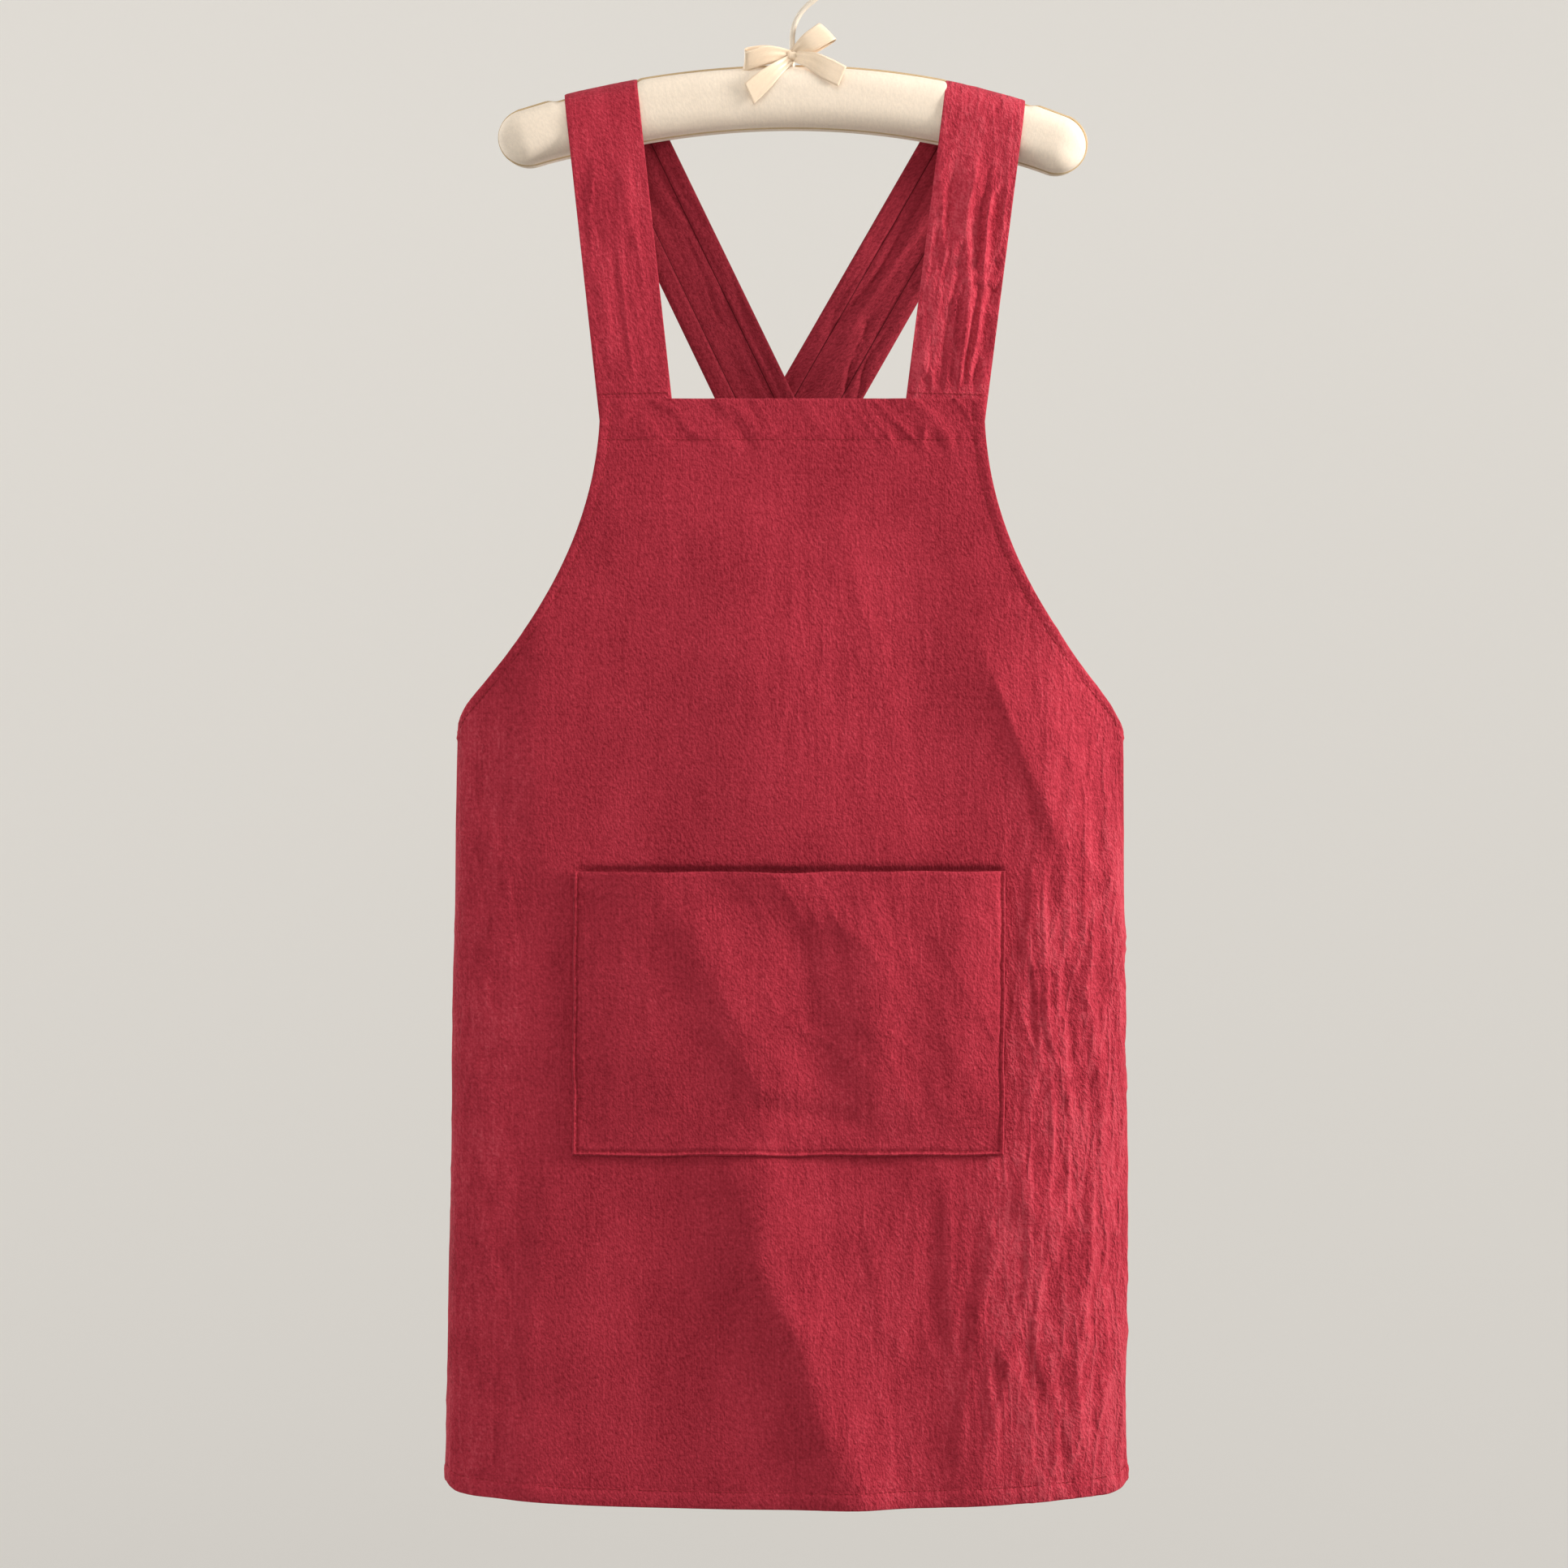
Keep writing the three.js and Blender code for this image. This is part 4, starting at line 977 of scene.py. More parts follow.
def strap_relief(cut, name, points, across, along, wide):
    """Lengthwise creases, fading out where the strap is sewn in and where it bears on the hanger."""
    strap = strap_named(name)
    seed = cut.look.seed + 60 + 7 * strap.side
    fine = small_creases("strap_fine", across, along, seed)
    broad = small_creases("strap_broad", across, along, seed + 1)
    bent = across / (7 * MM) + 0.8 * noise(across / 0.03, along / 0.05, seed + 4)
    wave = noise(bent, along / 0.08, seed + 5)
    slack = noise(across / 0.03, along / 0.11, seed + 2)
    drop = -points[..., 2]
    front = points[..., 1] < 0
    off_hanger = smooth(drop, 0.125, 0.16)
    free = np.where(front, smooth(drop, cut.apron.bib_drop + MM, cut.apron.bib_drop - 22 * MM),
                    smooth(drop, cut.apron.side_drop - 4 * MM, cut.apron.side_drop - 60 * MM))
    free = free * (0.08 + 0.92 * off_hanger) * (0.3 + 0.7 * smooth(wide / 2 - np.abs(across), 0, 5 * MM))
    height = 0.45 * MM * fine + 1.5 * MM * broad + 0.8 * MM * wave + 0.9 * MM * slack * off_hanger
    if strap.side > 0:
        spot = bump(drop, 0.218, 13 * MM) * bump(across, wide / 2 - 5 * MM, 9 * MM) * front
        height = height + 2.2 * MM * spot * noise(across / (4 * MM), along / (5 * MM), seed + 3)
        wander = 3 * MM * noise(drop / 0.025, 0.5, seed + 6)
        rim = bump(across + wander, wide / 2 - 13 * MM, 2.2 * MM) * smooth(drop, 0.14, 0.18) * front
        vein = bump(across + wander, 2 * MM + 0.06 * (drop - 0.2), 2 * MM) * smooth(drop, 0.12, 0.16) * front
        height = height + 1.8 * MM * rim + 1.2 * MM * vein
    height = cut.look.crinkle * strap.crinkle * height * free
    if strap.side > 0:
        height = height - 0.08 * across * front * free
    near_crossing = bump(drop, 0.345, 45 * MM) * ~front
    return height * (1 - 0.75 * near_crossing) - 0.1 * MM * strap.crossing_dip * near_crossing


def make_strap(cut, name, material, wrong_side, hem_shadow_finish):
    """A strap with its hems turned to the wrong side, its inner face painted a darker red as shade, and
    a painted shadow line where each hem ends.
    """
    strap_row = strap_named(name)
    points, normal, across, along, wide = strap_grid(cut, name)
    from_edge = wide / 2 - np.abs(across)
    hem = cut.apron.strap_hem
    relief = strap_relief(cut, name, points, across, along, wide)
    middle = points + normal * relief[..., None]
    turned = smooth(from_edge, hem + 0.7 * MM, hem - 0.7 * MM)
    round_off = 0.4 + 0.6 * smooth(from_edge, 0, 1.3 * MM)
    outside = (cut.apron.cloth / 2 + 0.1 * MM * turned) * round_off
    step = bump(from_edge, hem + 1.1 * MM, 0.9 * MM)
    inside = (cut.apron.cloth / 2 + 0.9 * MM * turned) * round_off - 0.25 * MM * step
    rows, columns = across.shape
    cells = grid_cells(columns, rows)[:, ::-1]
    first = 0.5 if strap_row.side > 0 else 0.2
    uv = np.stack([across + first, along * 0.98 + 0.01], -1)
    crumple = np.full(across.shape, 0.5 * strap_row.crinkle)
    strap = wall_piece(name + "_cloth", middle, normal, outside, inside, cells, uv, material, crumple)
    # The strap's inner face takes the red darkened as painted shade, for the shade that the back legs lie in.
    strap.data.materials.append(wrong_side)
    strap.data.materials.append(hem_shadow_finish)
    from_hem = from_edge.ravel()[cells[:, [0, 2]]].mean(axis=1) - hem
    # The cells just past each hem on the inner face get a dark red painted as the hem's shadow.
    hem_shadow_cells = (from_hem > 0) & (from_hem < 1.4 * MM)
    used = np.zeros(len(strap.data.polygons), np.int32)
    used[len(cells) : 2 * len(cells)] = np.where(hem_shadow_cells, 2, 1)
    strap.data.polygons.foreach_set("material_index", used)
    finish_piece(strap, "apron_cloth", name)
    return strap


# The stitches


def stitch_model():
    """One stitch, a short bead of thread along X, modelled once and copied along every seam."""
    deselect()
    bpy.ops.mesh.primitive_uv_sphere_add(segments=6, ring_count=4, radius=0.5)
    bead = bpy.context.object
    with edit_mode("SELECT"):
        bpy.ops.transform.rotate(value=math.pi / 2, orient_axis="Y", center_override=(0, 0, 0))
        bpy.ops.transform.resize(value=(1, 0.26, 0.18), center_override=(0, 0, 0))
    points = np.array([vertex.co for vertex in bead.data.vertices])
    faces = [list(polygon.vertices) for polygon in bead.data.polygons]
    mesh = bead.data
    bpy.data.objects.remove(bead)
    bpy.data.meshes.remove(mesh)
    return points, faces


def seam_run(point_at, across, down, side=1.0):
    """A dense line of points on a cloth and the outward normals along it."""
    across, down = np.broadcast_arrays(np.asarray(across, float), np.asarray(down, float))
    return point_at(across, down), side * normals_of(point_at, across, down)


def between(run, places, values):
    """A line's points or normals at places along it, from those at its own stops."""
    return np.stack([np.interp(places, run, values[:, i]) for i in range(3)], -1)


def sew(name, runs, pitch, above, material):
    """Stitches along each run of points and normals, as one piece."""
    bead, bead_faces = stitch_model()
    all_points, all_faces, count = [], [], 0
    for points, normals in runs:
        run = length_along(points)
        places = np.arange(pitch / 2, run[-1] - pitch / 2, pitch)
        at = between(run, places, points)
        up = unit(between(run, places, normals))
        along = unit(between(run, places + pitch / 2, points) - between(run, places - pitch / 2, points))
        aside = unit(np.cross(up, along))
        length = 0.78 * pitch
        copies = (
            at[:, None] + above * up[:, None]
            + length * bead[None, :, 0, None] * along[:, None]
            + length * bead[None, :, 1, None] * aside[:, None]
            + length * bead[None, :, 2, None] * up[:, None]
        )
        all_points.append(copies.reshape(-1, 3))
        for copy in range(len(places)):
            base = count + copy * len(bead)
            all_faces.extend([[base + corner for corner in face] for face in bead_faces])
        count += len(places) * len(bead)
    points = np.concatenate(all_points)
    uv = np.stack([points[:, 0] + 0.5, 1 + points[:, 2]], -1)
    stitches = mesh_piece(name, points, all_faces, uv, material)
    return finish_piece(stitches, "apron_cloth")


def body_seams(cut):
    """The stitches along the hems, the armholes, the bib's band and the right strap's foot."""
    apron = cut.apron

    def at(across, drop):
        return body_point(cut, across, drop)

    hem_across = np.linspace(-1, 1, 700) * (cut.free_across - apron.hem_width)
    runs = [seam_run(at, hem_across, bottom_drop(cut, hem_across) - apron.hem_width)]
    side_drops = np.linspace(apron.bib_drop + 2 * MM, apron.side_drop, 160)
    back_across = np.linspace(cut.side_across, cut.free_across - apron.hem_width, 140)
    free_foot = apron.hem_drop - apron.hem_rise - MM
    free_drops = np.linspace(apron.side_drop + apron.back_dip + MM, free_foot, 320)
    for side in (-1, 1):
        arm = side * (armhole_across(cut, side_drops) - apron.armhole_hem)
        runs.append(seam_run(at, arm, side_drops))
        runs.append(seam_run(at, side * back_across, top_drop(cut, back_across) + apron.armhole_hem))
        runs.append(seam_run(at, side * (cut.free_across - apron.hem_width), free_drops))
    band_across = np.linspace(-1, 1, 240) * (armhole_across(cut, cut.band_drop) - 2 * MM)
    runs.append(seam_run(at, band_across, cut.band_drop))
    strap_wide = strap_named("strap_right").width * apron.strap_width
    base = np.linspace(apron.bib_width / 2 - strap_wide, apron.bib_width / 2 - MM, 60)
    runs.append(seam_run(at, base, apron.bib_drop + 1.7 * MM))
    return runs


def pocket_seams(cut):
    """The stitches down the pocket's sides and along its foot."""
    apron = cut.apron
    half = apron.pocket_width / 2 - POCKET_SEAM
    foot = apron.pocket_drop + apron.pocket_height - POCKET_SEAM
    drops = np.linspace(apron.pocket_drop + 0.5 * MM, foot, 200)
    across = np.linspace(-half, half, 260)

    def at(a, d):
        return pocket_point(cut, a, d)

    return [seam_run(at, -half, drops), seam_run(at, half, drops), seam_run(at, across, foot)]


def strap_seams(cut, name):
    """The row of stitches across a strap's foot, just above the bib's edge, and one where its tail
    is sewn to the back."""
    points, normal, across, along, wide = strap_grid(cut, name)
    relief = strap_relief(cut, name, points, across, along, wide)
    surface = points + normal * (relief + cut.apron.cloth / 2)[..., None]
    middle = points.shape[1] // 2
    low = int(np.argmin(np.abs(points[:60, middle, 2] + cut.apron.bib_drop - 2.4 * MM)))
    behind = len(points) // 2
    high = behind + int(np.argmin(np.abs(points[behind:, middle, 2] + cut.apron.side_drop)))
    return [(surface[row, 1:-1], normal[row, 1:-1]) for row in (low, high)]


# The hanger


def arc_point(cut, angle, offset):
    """A point in the middle plane, off the bar's arc by an offset."""
    level = cut.hanger.arc * np.sin(angle)
    radius = cut.hanger.arc + offset * end_taper(level) - strap_press(cut, level) * (offset > 0)
    x = radius * np.sin(angle)
    z = -cut.hanger.drop - cut.hanger.arc + radius * np.cos(angle) + hanger_lean(cut, x)
    return np.stack([x, 0 * angle, z], -1)


def make_cushion(cut, material):
    """The padded bar: a stuffed tube with round ends, puckered along its seam."""
    hanger = cut.hanger
    cap_angle = math.asin((hanger.length - hanger.height) / 2 / hanger.arc)
    reach = cut.pad_half / hanger.arc
    turns = np.linspace(0, math.pi / 2, 13)[1:]
    cap_angles, cap_shares = cap_angle + reach * np.sin(turns), np.cos(turns)
    cap_shares[-1] = 0.02
    bar = np.linspace(-cap_angle, cap_angle, 190)
    angles = np.concatenate([-cap_angles[::-1], bar, cap_angles])
    shares = np.concatenate([cap_shares[::-1], np.ones(len(bar)), cap_shares])
    around = np.linspace(0.5 * math.pi, 2.5 * math.pi, 73)[:-1]
    angle, turn = np.meshgrid(angles, around, indexing="ij")
    share = shares[:, None]
    run = angle * hanger.arc
    seed = cut.look.seed + 90
    high = np.sin(turn)
    deep = np.cos(turn)
    squareness = 2.8
    fuller = (np.abs(high) ** squareness + np.abs(deep) ** squareness) ** (-1 / squareness)
    from_seam = np.arccos(np.clip(np.abs(high), 0, 1))
    near_seam = bump(from_seam, 0, 0.45)
    ends = smooth(np.abs(run), 0.12, 0.18)
    gather = noise(run / (4.5 * MM), turn * 0.6, seed) * near_seam * (0.25 + 0.75 * ends)
    lumps = noise(run / 0.03, turn * 1.3, seed + 1) + 0.6 * noise(run / 0.012, turn * 2.4, seed + 2)
    swell = 1 + 0.03 * gather + 0.014 * lumps
    up = (cut.pad_half + 0.5 * MM) * share * high * fuller * end_taper(run)
    below = np.clip(-high, 0, 1) ** 3 * share
    up += below * np.where(deep < 0, -1.6 * MM, MM) * smooth(np.abs(deep), 0, 0.25)
    out = cut.half_depth * share * deep * fuller * np.minimum(swell, 1)
    radius = hanger.arc + up - np.clip(high, 0, 1) * strap_press(cut, run)
    x = radius * np.sin(angle)
    z = -hanger.drop - hanger.arc + radius * np.cos(angle) + hanger_lean(cut, x)
    points = np.stack([x, -out, z], -1).reshape(-1, 3)
    count = len(around)
    corner = np.arange(count * (len(angles) - 1))
    following = corner - corner % count + (corner + 1) % count
    faces = np.stack([corner, corner + count, following + count, following], -1).tolist()
    last = count * (len(angles) - 1)
    faces.append(list(range(count)))
    faces.append(list(range(last, last + count))[::-1])
    uv = np.stack([run.ravel() + 0.5, turn.ravel() * hanger.height / 2 / 1.3], -1)
    cushion = mesh_piece("hanger_cushion", points, faces, uv, material)
    make_active(cushion)
    with edit_mode("SELECT"):
        bpy.ops.mesh.normals_make_consistent(inside=False)
    finish_piece(cushion, "hanger_cloth", "hanger_pad")
    return cushion


def tube_piece(name, path, radius, sides, material):
    """A round bar along a path, from a curve with a round bevel, made a mesh."""
    curve = bpy.data.curves.new(name, "CURVE")
    curve.dimensions = "3D"
    curve.bevel_depth = radius
    curve.bevel_resolution = sides // 2 - 2
    curve.use_fill_caps = True
    spline = curve.splines.new("POLY")
    spline.points.add(len(path) - 1)
    flat = np.concatenate([path, np.ones((len(path), 1))], 1)
    spline.points.foreach_set("co", flat.ravel())
    tube = bpy.data.objects.new(name, curve)
    bpy.context.scene.collection.objects.link(tube)
    make_active(tube)
    bpy.ops.object.convert(target="MESH")
    tube = bpy.context.object
    tube.data.materials.clear()
    tube.data.materials.append(material)
    bpy.ops.object.shade_smooth_by_angle(angle=math.radians(50))
    return tube


# How far above the bar's underside the seam and its piping run.
SEAM_RISE = 1.2 * MM


def make_piping(cut, material):
    """The cord in the cover's seam, all round the bar and open where the hook stands."""
    hanger = cut.hanger
    radius = hanger.piping / 2
    offset = cut.half_height - radius
    cap_angle = math.asin((hanger.length - hanger.height) / 2 / hanger.arc)
    start = (hanger.wire / 2 + cut.gap) / (hanger.arc + offset)

    def end_round(side):
        turn = np.linspace(0, math.pi, 40)[1:-1]
        facing = side * (cap_angle + turn)
        away = np.stack([np.sin(facing), 0 * facing, np.cos(facing)], -1)
        rise = SEAM_RISE * smooth(turn, 0.3 * math.pi, math.pi)
        reach = offset * end_taper(side * hanger.length / 2) - rise
        return arc_point(cut, np.full(len(turn), side * cap_angle), 0 * turn) + reach[:, None] * away

    top_right = arc_point(cut, np.linspace(start, cap_angle, 90), offset)
    bottom = arc_point(cut, np.linspace(cap_angle, -cap_angle, 180), -offset + SEAM_RISE)
    top_left = arc_point(cut, np.linspace(-cap_angle, -start, 90), offset)
    path = np.concatenate([top_right, end_round(1), bottom, end_round(-1)[::-1], top_left])
    piping = tube_piece("hanger_cord", path, radius, 10, material)
    return finish_piece(piping, "piping_cord", "hanger_piping")


def make_hook(cut, material):
    """The wire hook: stem, leaning neck and round crook, with a rounded tip."""
    hanger = cut.hanger
    radius = hanger.wire / 2
    crook_z = -(hanger.crook - radius)
    neck_turn = math.acos(hanger.neck / (hanger.crook + hanger.neck))
    neck_z = crook_z - (hanger.crook + hanger.neck) * math.sin(neck_turn)
    foot_z = -hanger.drop + cut.pad_half - 14 * MM
    stem = np.stack([np.zeros(8), np.zeros(8), np.linspace(foot_z, neck_z, 8)], -1)
    turn = np.linspace(0, neck_turn, 24)[1:]
    neck = np.stack([hanger.neck * (1 - np.cos(turn)), 0 * turn, neck_z + hanger.neck * np.sin(turn)], -1)
    turn = np.linspace(-neck_turn, math.radians(205), 90)[1:]
    crook = np.stack([hanger.crook * np.cos(turn), 0 * turn, crook_z + hanger.crook * np.sin(turn)], -1)
    hook = tube_piece("hook_wire", np.concatenate([stem, neck, crook]), radius, 20, material)
    deselect_mesh()
    tip = Vector(crook[-1])
    for face in hook.data.polygons:
        if len(face.vertices) > 4:
            face.select = (face.center - tip).length < radius
    with edit_mode():
        bpy.ops.mesh.bevel(offset=radius * 0.8, segments=5, affect="EDGES")
    return finish_piece(hook, "hook_enamel", "hanger_hook")


def spline_through(stops, count):
    """A smooth line through stops, each a list of numbers, with count steps between each two."""
    stops = np.asarray(stops, float)
    padded = np.concatenate([2 * stops[:1] - stops[1:2], stops, 2 * stops[-1:] - stops[-2:-1]])
    part = np.linspace(0, 1, count, endpoint=False)[:, None]
    runs = []
    for i in range(1, len(padded) - 2):
        a, b, c, d = padded[i - 1 : i + 3]
        runs.append(0.5 * (2 * b + (c - a) * part + (2 * a - 5 * b + 4 * c - d) * part**2
                           + (3 * b - a - 3 * c + d) * part**3))
    return np.concatenate([*runs, stops[-1:]])


def make_ribbon(cut, name, stops, knot_at, material):
    """One length of the bow's ribbon, a thin strip that cups a little along its middle."""
    width = cut.hanger.ribbon
    places, directions, widths = zip(*stops)
    steps = 9
    at = spline_through(places, steps) * width + knot_at
    across = unit(spline_through(directions, steps))
    wide = spline_through([[part] for part in widths], steps)[:, 0] * width
    shares = np.linspace(-0.5, 0.5, 11)
    points = at[:, None] + shares[None, :, None] * (wide[:, None] * across)[:, None]
    normal = unit(np.cross(np.gradient(points, axis=1), np.gradient(points, axis=0)))
    run = length_along(at)
    gathered = 1 - wide / width
    pleat = 0.9 * MM * gathered[:, None] * np.cos(2.5 * 2 * math.pi * shares)[None, :]
    cup = 0.06 * wide[:, None] * (1 - 4 * shares**2)[None, :] * bump(run, run[-1] / 2, run[-1] / 3)[:, None]
    middle = points + normal * (pleat - 0.5 * cup)[..., None]
    half = 0.16 * MM * np.where(np.abs(shares) > 0.46, 1.5, 1)
    uv = np.stack(np.meshgrid(shares * width + 0.1, run + 0.1), -1)
    cells = grid_cells(len(shares), len(at))[:, ::-1]
    ribbon = wall_piece("bow_" + name, middle, normal, half, half, cells, uv, material)
    finish_piece(ribbon, "ribbon_satin")
    return ribbon


def make_knot(cut, knot_at, material):
    """The bow's knot: a ribbon band drawn tight round the gathered middle, with creases."""
    width = cut.hanger.ribbon
    deselect()
    bpy.ops.mesh.primitive_uv_sphere_add(segments=40, ring_count=28, radius=0.5)
    knot = bpy.context.object
    knot.name = knot.data.name = "bow_knot"
    points = np.array([vertex.co for vertex in knot.data.vertices])
    direction = unit(points)
    square = (np.abs(direction) ** 3).sum(1) ** (-1 / 3)
    pleats = 0.03 * np.cos(9 * direction[:, 0] / 0.6 + 2 * direction[:, 2]) * (1 - np.abs(direction[:, 0]))
    shaped = direction * (0.5 * square * (1 + pleats))[:, None]
    shaped[:, 2] *= 1 - 0.18 * (1 - np.abs(direction[:, 0])) ** 2
    shaped = shaped * np.array([0.5, 0.46, 0.5]) * width * 0.92 + knot_at
    knot.data.vertices.foreach_set("co", shaped.astype(np.float32).ravel())
    uv = knot.data.uv_layers.active or knot.data.uv_layers.new(name="cloth")
    uv.name = "cloth"
    corner = np.empty(len(knot.data.loops), np.int32)
    knot.data.loops.foreach_get("vertex_index", corner)
    flat = np.stack([shaped[:, 0] + 0.1, shaped[:, 2] + 0.3], -1)
    uv.data.foreach_set("uv", flat[corner].astype(np.float32).ravel())
    knot.data.polygons.foreach_set("use_smooth", np.ones(len(knot.data.polygons), bool))
    knot.data.materials.clear()
    knot.data.materials.append(material)
    knot.data.update()
    return finish_piece(knot, "ribbon_satin", "hanger_bow")


# Materials


def new_group(name, inputs, outputs):
    """An empty shader node group with its inputs and outputs, each a name, a kind and a default."""
    group = bpy.data.node_groups.new(name, "ShaderNodeTree")
    for label, kind, default in inputs:
        socket = group.interface.new_socket(label, in_out="INPUT", socket_type=kind)
        if default is not None:
            socket.default_value = default
    for label, kind in outputs:
        group.interface.new_socket(label, in_out="OUTPUT", socket_type=kind)
    return group


def node_in(tree, kind, **settings):
    """A node of one kind, with plain properties set and other names taken as input values."""
    node = tree.nodes.new(kind)
    for key, value in settings.items():
        if hasattr(node, key):
            setattr(node, key, value)
        else:
            node.inputs[key].default_value = value
    return node


def new_material(name):
    """A material, its nodes and its shader."""
    material = bpy.data.materials.new(name)
    material.use_nodes = True
    return material, material.node_tree, material.node_tree.nodes["Principled BSDF"]


def shade_between(tree, value, stops, socket):
    """Colour a socket by a value, through stops, each a position from 0 to 1 and a colour."""
    ramp = tree.nodes.new("ShaderNodeValToRGB")
    elements = ramp.color_ramp.elements
    for number, (position, colour) in enumerate(stops):
        element = elements[number] if number < len(elements) else elements.new(position)
        element.position = position
        element.color = (*colour, 1)
    tree.links.new(value, ramp.inputs[0])
    tree.links.new(ramp.outputs[0], socket)


def add_relief(tree, height, strength, distance, shader):
    """Raise the surface's look by a height."""
    relief = node_in(tree, "ShaderNodeBump", Strength=strength, Distance=distance)
    tree.links.new(height, relief.inputs["Height"])
    tree.links.new(relief.outputs[0], shader.inputs["Normal"])


def maths(tree, operation, first, second=None):
    """A Math node; each operand is a socket or a number."""
    node = tree.nodes.new("ShaderNodeMath")
    node.operation = operation
    for slot, value in enumerate((first, second)):
        if value is None:
            continue
        if isinstance(value, bpy.types.NodeSocket):
            tree.links.new(value, node.inputs[slot])
        else:
            node.inputs[slot].default_value = value
    return node.outputs[0]


def stretched_noise(tree, vector, scale, detail, rough, distortion=0.0):
    """Noise over the flat cloth, with its own scale along each direction."""
    mapping = node_in(tree, "ShaderNodeMapping", Scale=(*scale, 1))
    tree.links.new(vector, mapping.inputs["Vector"])
    texture = node_in(
        tree, "ShaderNodeTexNoise", noise_dimensions="2D", Scale=1, Detail=detail, Roughness=rough,
        Distortion=distortion,
    )
    tree.links.new(mapping.outputs[0], texture.inputs["Vector"])
    return texture.outputs["Fac"]


def weave_group():
    """A plain weave of slubby threads with a crepe grain: its height, and its tone, which is partly the
    threads' own and partly painted highlight on the crests and painted shade between them.
    """
    group = new_group(
        "woven_cloth",
        [("Vector", "NodeSocketVector", None), ("Threads", "NodeSocketFloat", 1150.0),
         ("Grain", "NodeSocketFloat", 1.0), ("Weave", "NodeSocketFloat", 1.0),
         ("Crumple", "NodeSocketFloat", 0.0)],
        [("Height", "NodeSocketFloat"), ("Tone", "NodeSocketFloat")],
    )
    nodes_in = group.nodes.new("NodeGroupInput")
    nodes_out = group.nodes.new("NodeGroupOutput")
    vector = nodes_in.outputs["Vector"]
    slant = group.nodes.new("ShaderNodeVectorRotate")
    slant.rotation_type = "Z_AXIS"
    slant.inputs["Angle"].default_value = -0.5
    group.links.new(vector, slant.inputs["Vector"])
    crepe = stretched_noise(group, slant.outputs[0], (560, 300), 2, 0.5)
    pebble = stretched_noise(group, vector, (900, 650), 1, 0.5)
    warp_slub = stretched_noise(group, vector, (1100, 30), 2, 0.5)
    weft_slub = stretched_noise(group, vector, (30, 900), 2, 0.5)
    patches = stretched_noise(group, vector, (22, 14), 3, 0.6)

    def ridges(scale, distortion, sharpness):
        """Narrow crests along the places where a noise passes its middle."""
        wave = stretched_noise(group, vector, scale, 1, 0.5, distortion)
        wave = maths(group, "MULTIPLY", maths(group, "SUBTRACT", wave, 0.5), sharpness)
        wave = maths(group, "ABSOLUTE", wave)
        wave = maths(group, "MAXIMUM", maths(group, "SUBTRACT", 1.0, wave), 0.0)
        return maths(group, "MULTIPLY", maths(group, "POWER", wave, 1.5), nodes_in.outputs["Crumple"])

    bark = ridges((150, 60), 0.3, 3.5)
    crease = ridges((80, 16), 0.4, 3.6)
    long_crease = ridges((38, 7), 0.6, 5.0)

    split = group.nodes.new("ShaderNodeSeparateXYZ")
    group.links.new(vector, split.inputs[0])
    waves = []
    for axis in range(2):
        turn = maths(group, "MULTIPLY", split.outputs[axis], nodes_in.outputs["Threads"])
        waves.append(maths(group, "SINE", maths(group, "MULTIPLY", turn, 2 * math.pi)))
    checker = maths(group, "MULTIPLY", waves[0], waves[1])
    checker = maths(group, "MULTIPLY", checker, nodes_in.outputs["Weave"])

    def total(*parts):
        """The sum of several heights or tones, each a socket and its share."""
        whole = None
        for socket, share in parts:
            part = maths(group, "MULTIPLY", socket, share)
            whole = part if whole is None else maths(group, "ADD", whole, part)
        return whole

    rough = maths(group, "ADD", maths(group, "MULTIPLY", nodes_in.outputs["Crumple"], 0.4), 0.92)
    grain = total((crepe, 0.6), (pebble, 0.4), (warp_slub, 0.04))
    grain = maths(group, "MULTIPLY", maths(group, "MULTIPLY", grain, nodes_in.outputs["Grain"]), rough)
    height = total((grain, 1.0), (bark, 0.45), (crease, 0.85), (long_crease, 0.6), (checker, 0.03))
    group.links.new(height, nodes_out.inputs["Height"])
    # The slubs, patches and weave are the cloth's own tone. The crepe, pebble, bark and crease heights paint
    # their crests lighter as highlight and their hollows darker as shade.
    tone = total((warp_slub, 0.22), (weft_slub, 0.1), (crepe, 0.42), (pebble, 0.3), (patches, 0.25),
                 (bark, 0.14), (crease, 0.2), (checker, 0.04))
    group.links.new(tone, nodes_out.inputs["Tone"])
    return group


# Each woven finish: the colours of its crests and of its gaps, each one of the named colours and a
# share of it, then its threads to a metre, how strong its crepe grain and its weave are, its relief in
# millimetres, its roughness, its sheen and its gloss. The crests' colour carries painted highlight and
# the gaps' colour painted shade. The straps' inner faces take a red darkened as painted shade, and the
# cells beside their hems a dark red painted as the hems' shadow.
FINISH_COLUMNS = ("crests", "gaps", "threads", "grain", "weave", "relief", "roughness", "sheen", "gloss")
FINISHES = {
    "red_crepe": (("red", 1), ("red_deep_and_shade", 1), 1150, 1, 1, 1, 0.85, 0.16, 0.12),
    "red_wrong_side": (("red", 0.77), ("red_deep_and_shade", 0.77), 1150, 0.7, 1, 1, 0.9, 0.08, 0.2),
    "red_fold": (("red_deep_and_shade", 0.4), ("red_deep_and_shade", 0.4), 1150, 0.5, 1, 0.5, 0.9, 0, 0.2),
    "red_thread": (("thread", 1), ("thread", 0.8), 2500, 0.3, 1, 0.1, 0.7, 0.1, 0.2),
    "cream_cotton": (("cream", 1), ("cream", 0.9), 1500, 0.35, 0.8, 0.25, 0.8, 0.15, 0.2),
    "tan_cord": (("tan", 1), ("tan", 0.7), 1400, 0.4, 1, 0.2, 0.55, 0.1, 0.2),
    "peach_satin": (("peach", 1), ("peach", 0.93), 2200, 0.12, 0.8, 0.12, 0.34, 0.5, 0.45),
}

# Where the cloth's tone has the gaps' colour, the crests' colour and the palest one, which is partly
# wear and partly a painted highlight on the crests.
TONE_STOPS = (0.485, 0.805, 0.98)


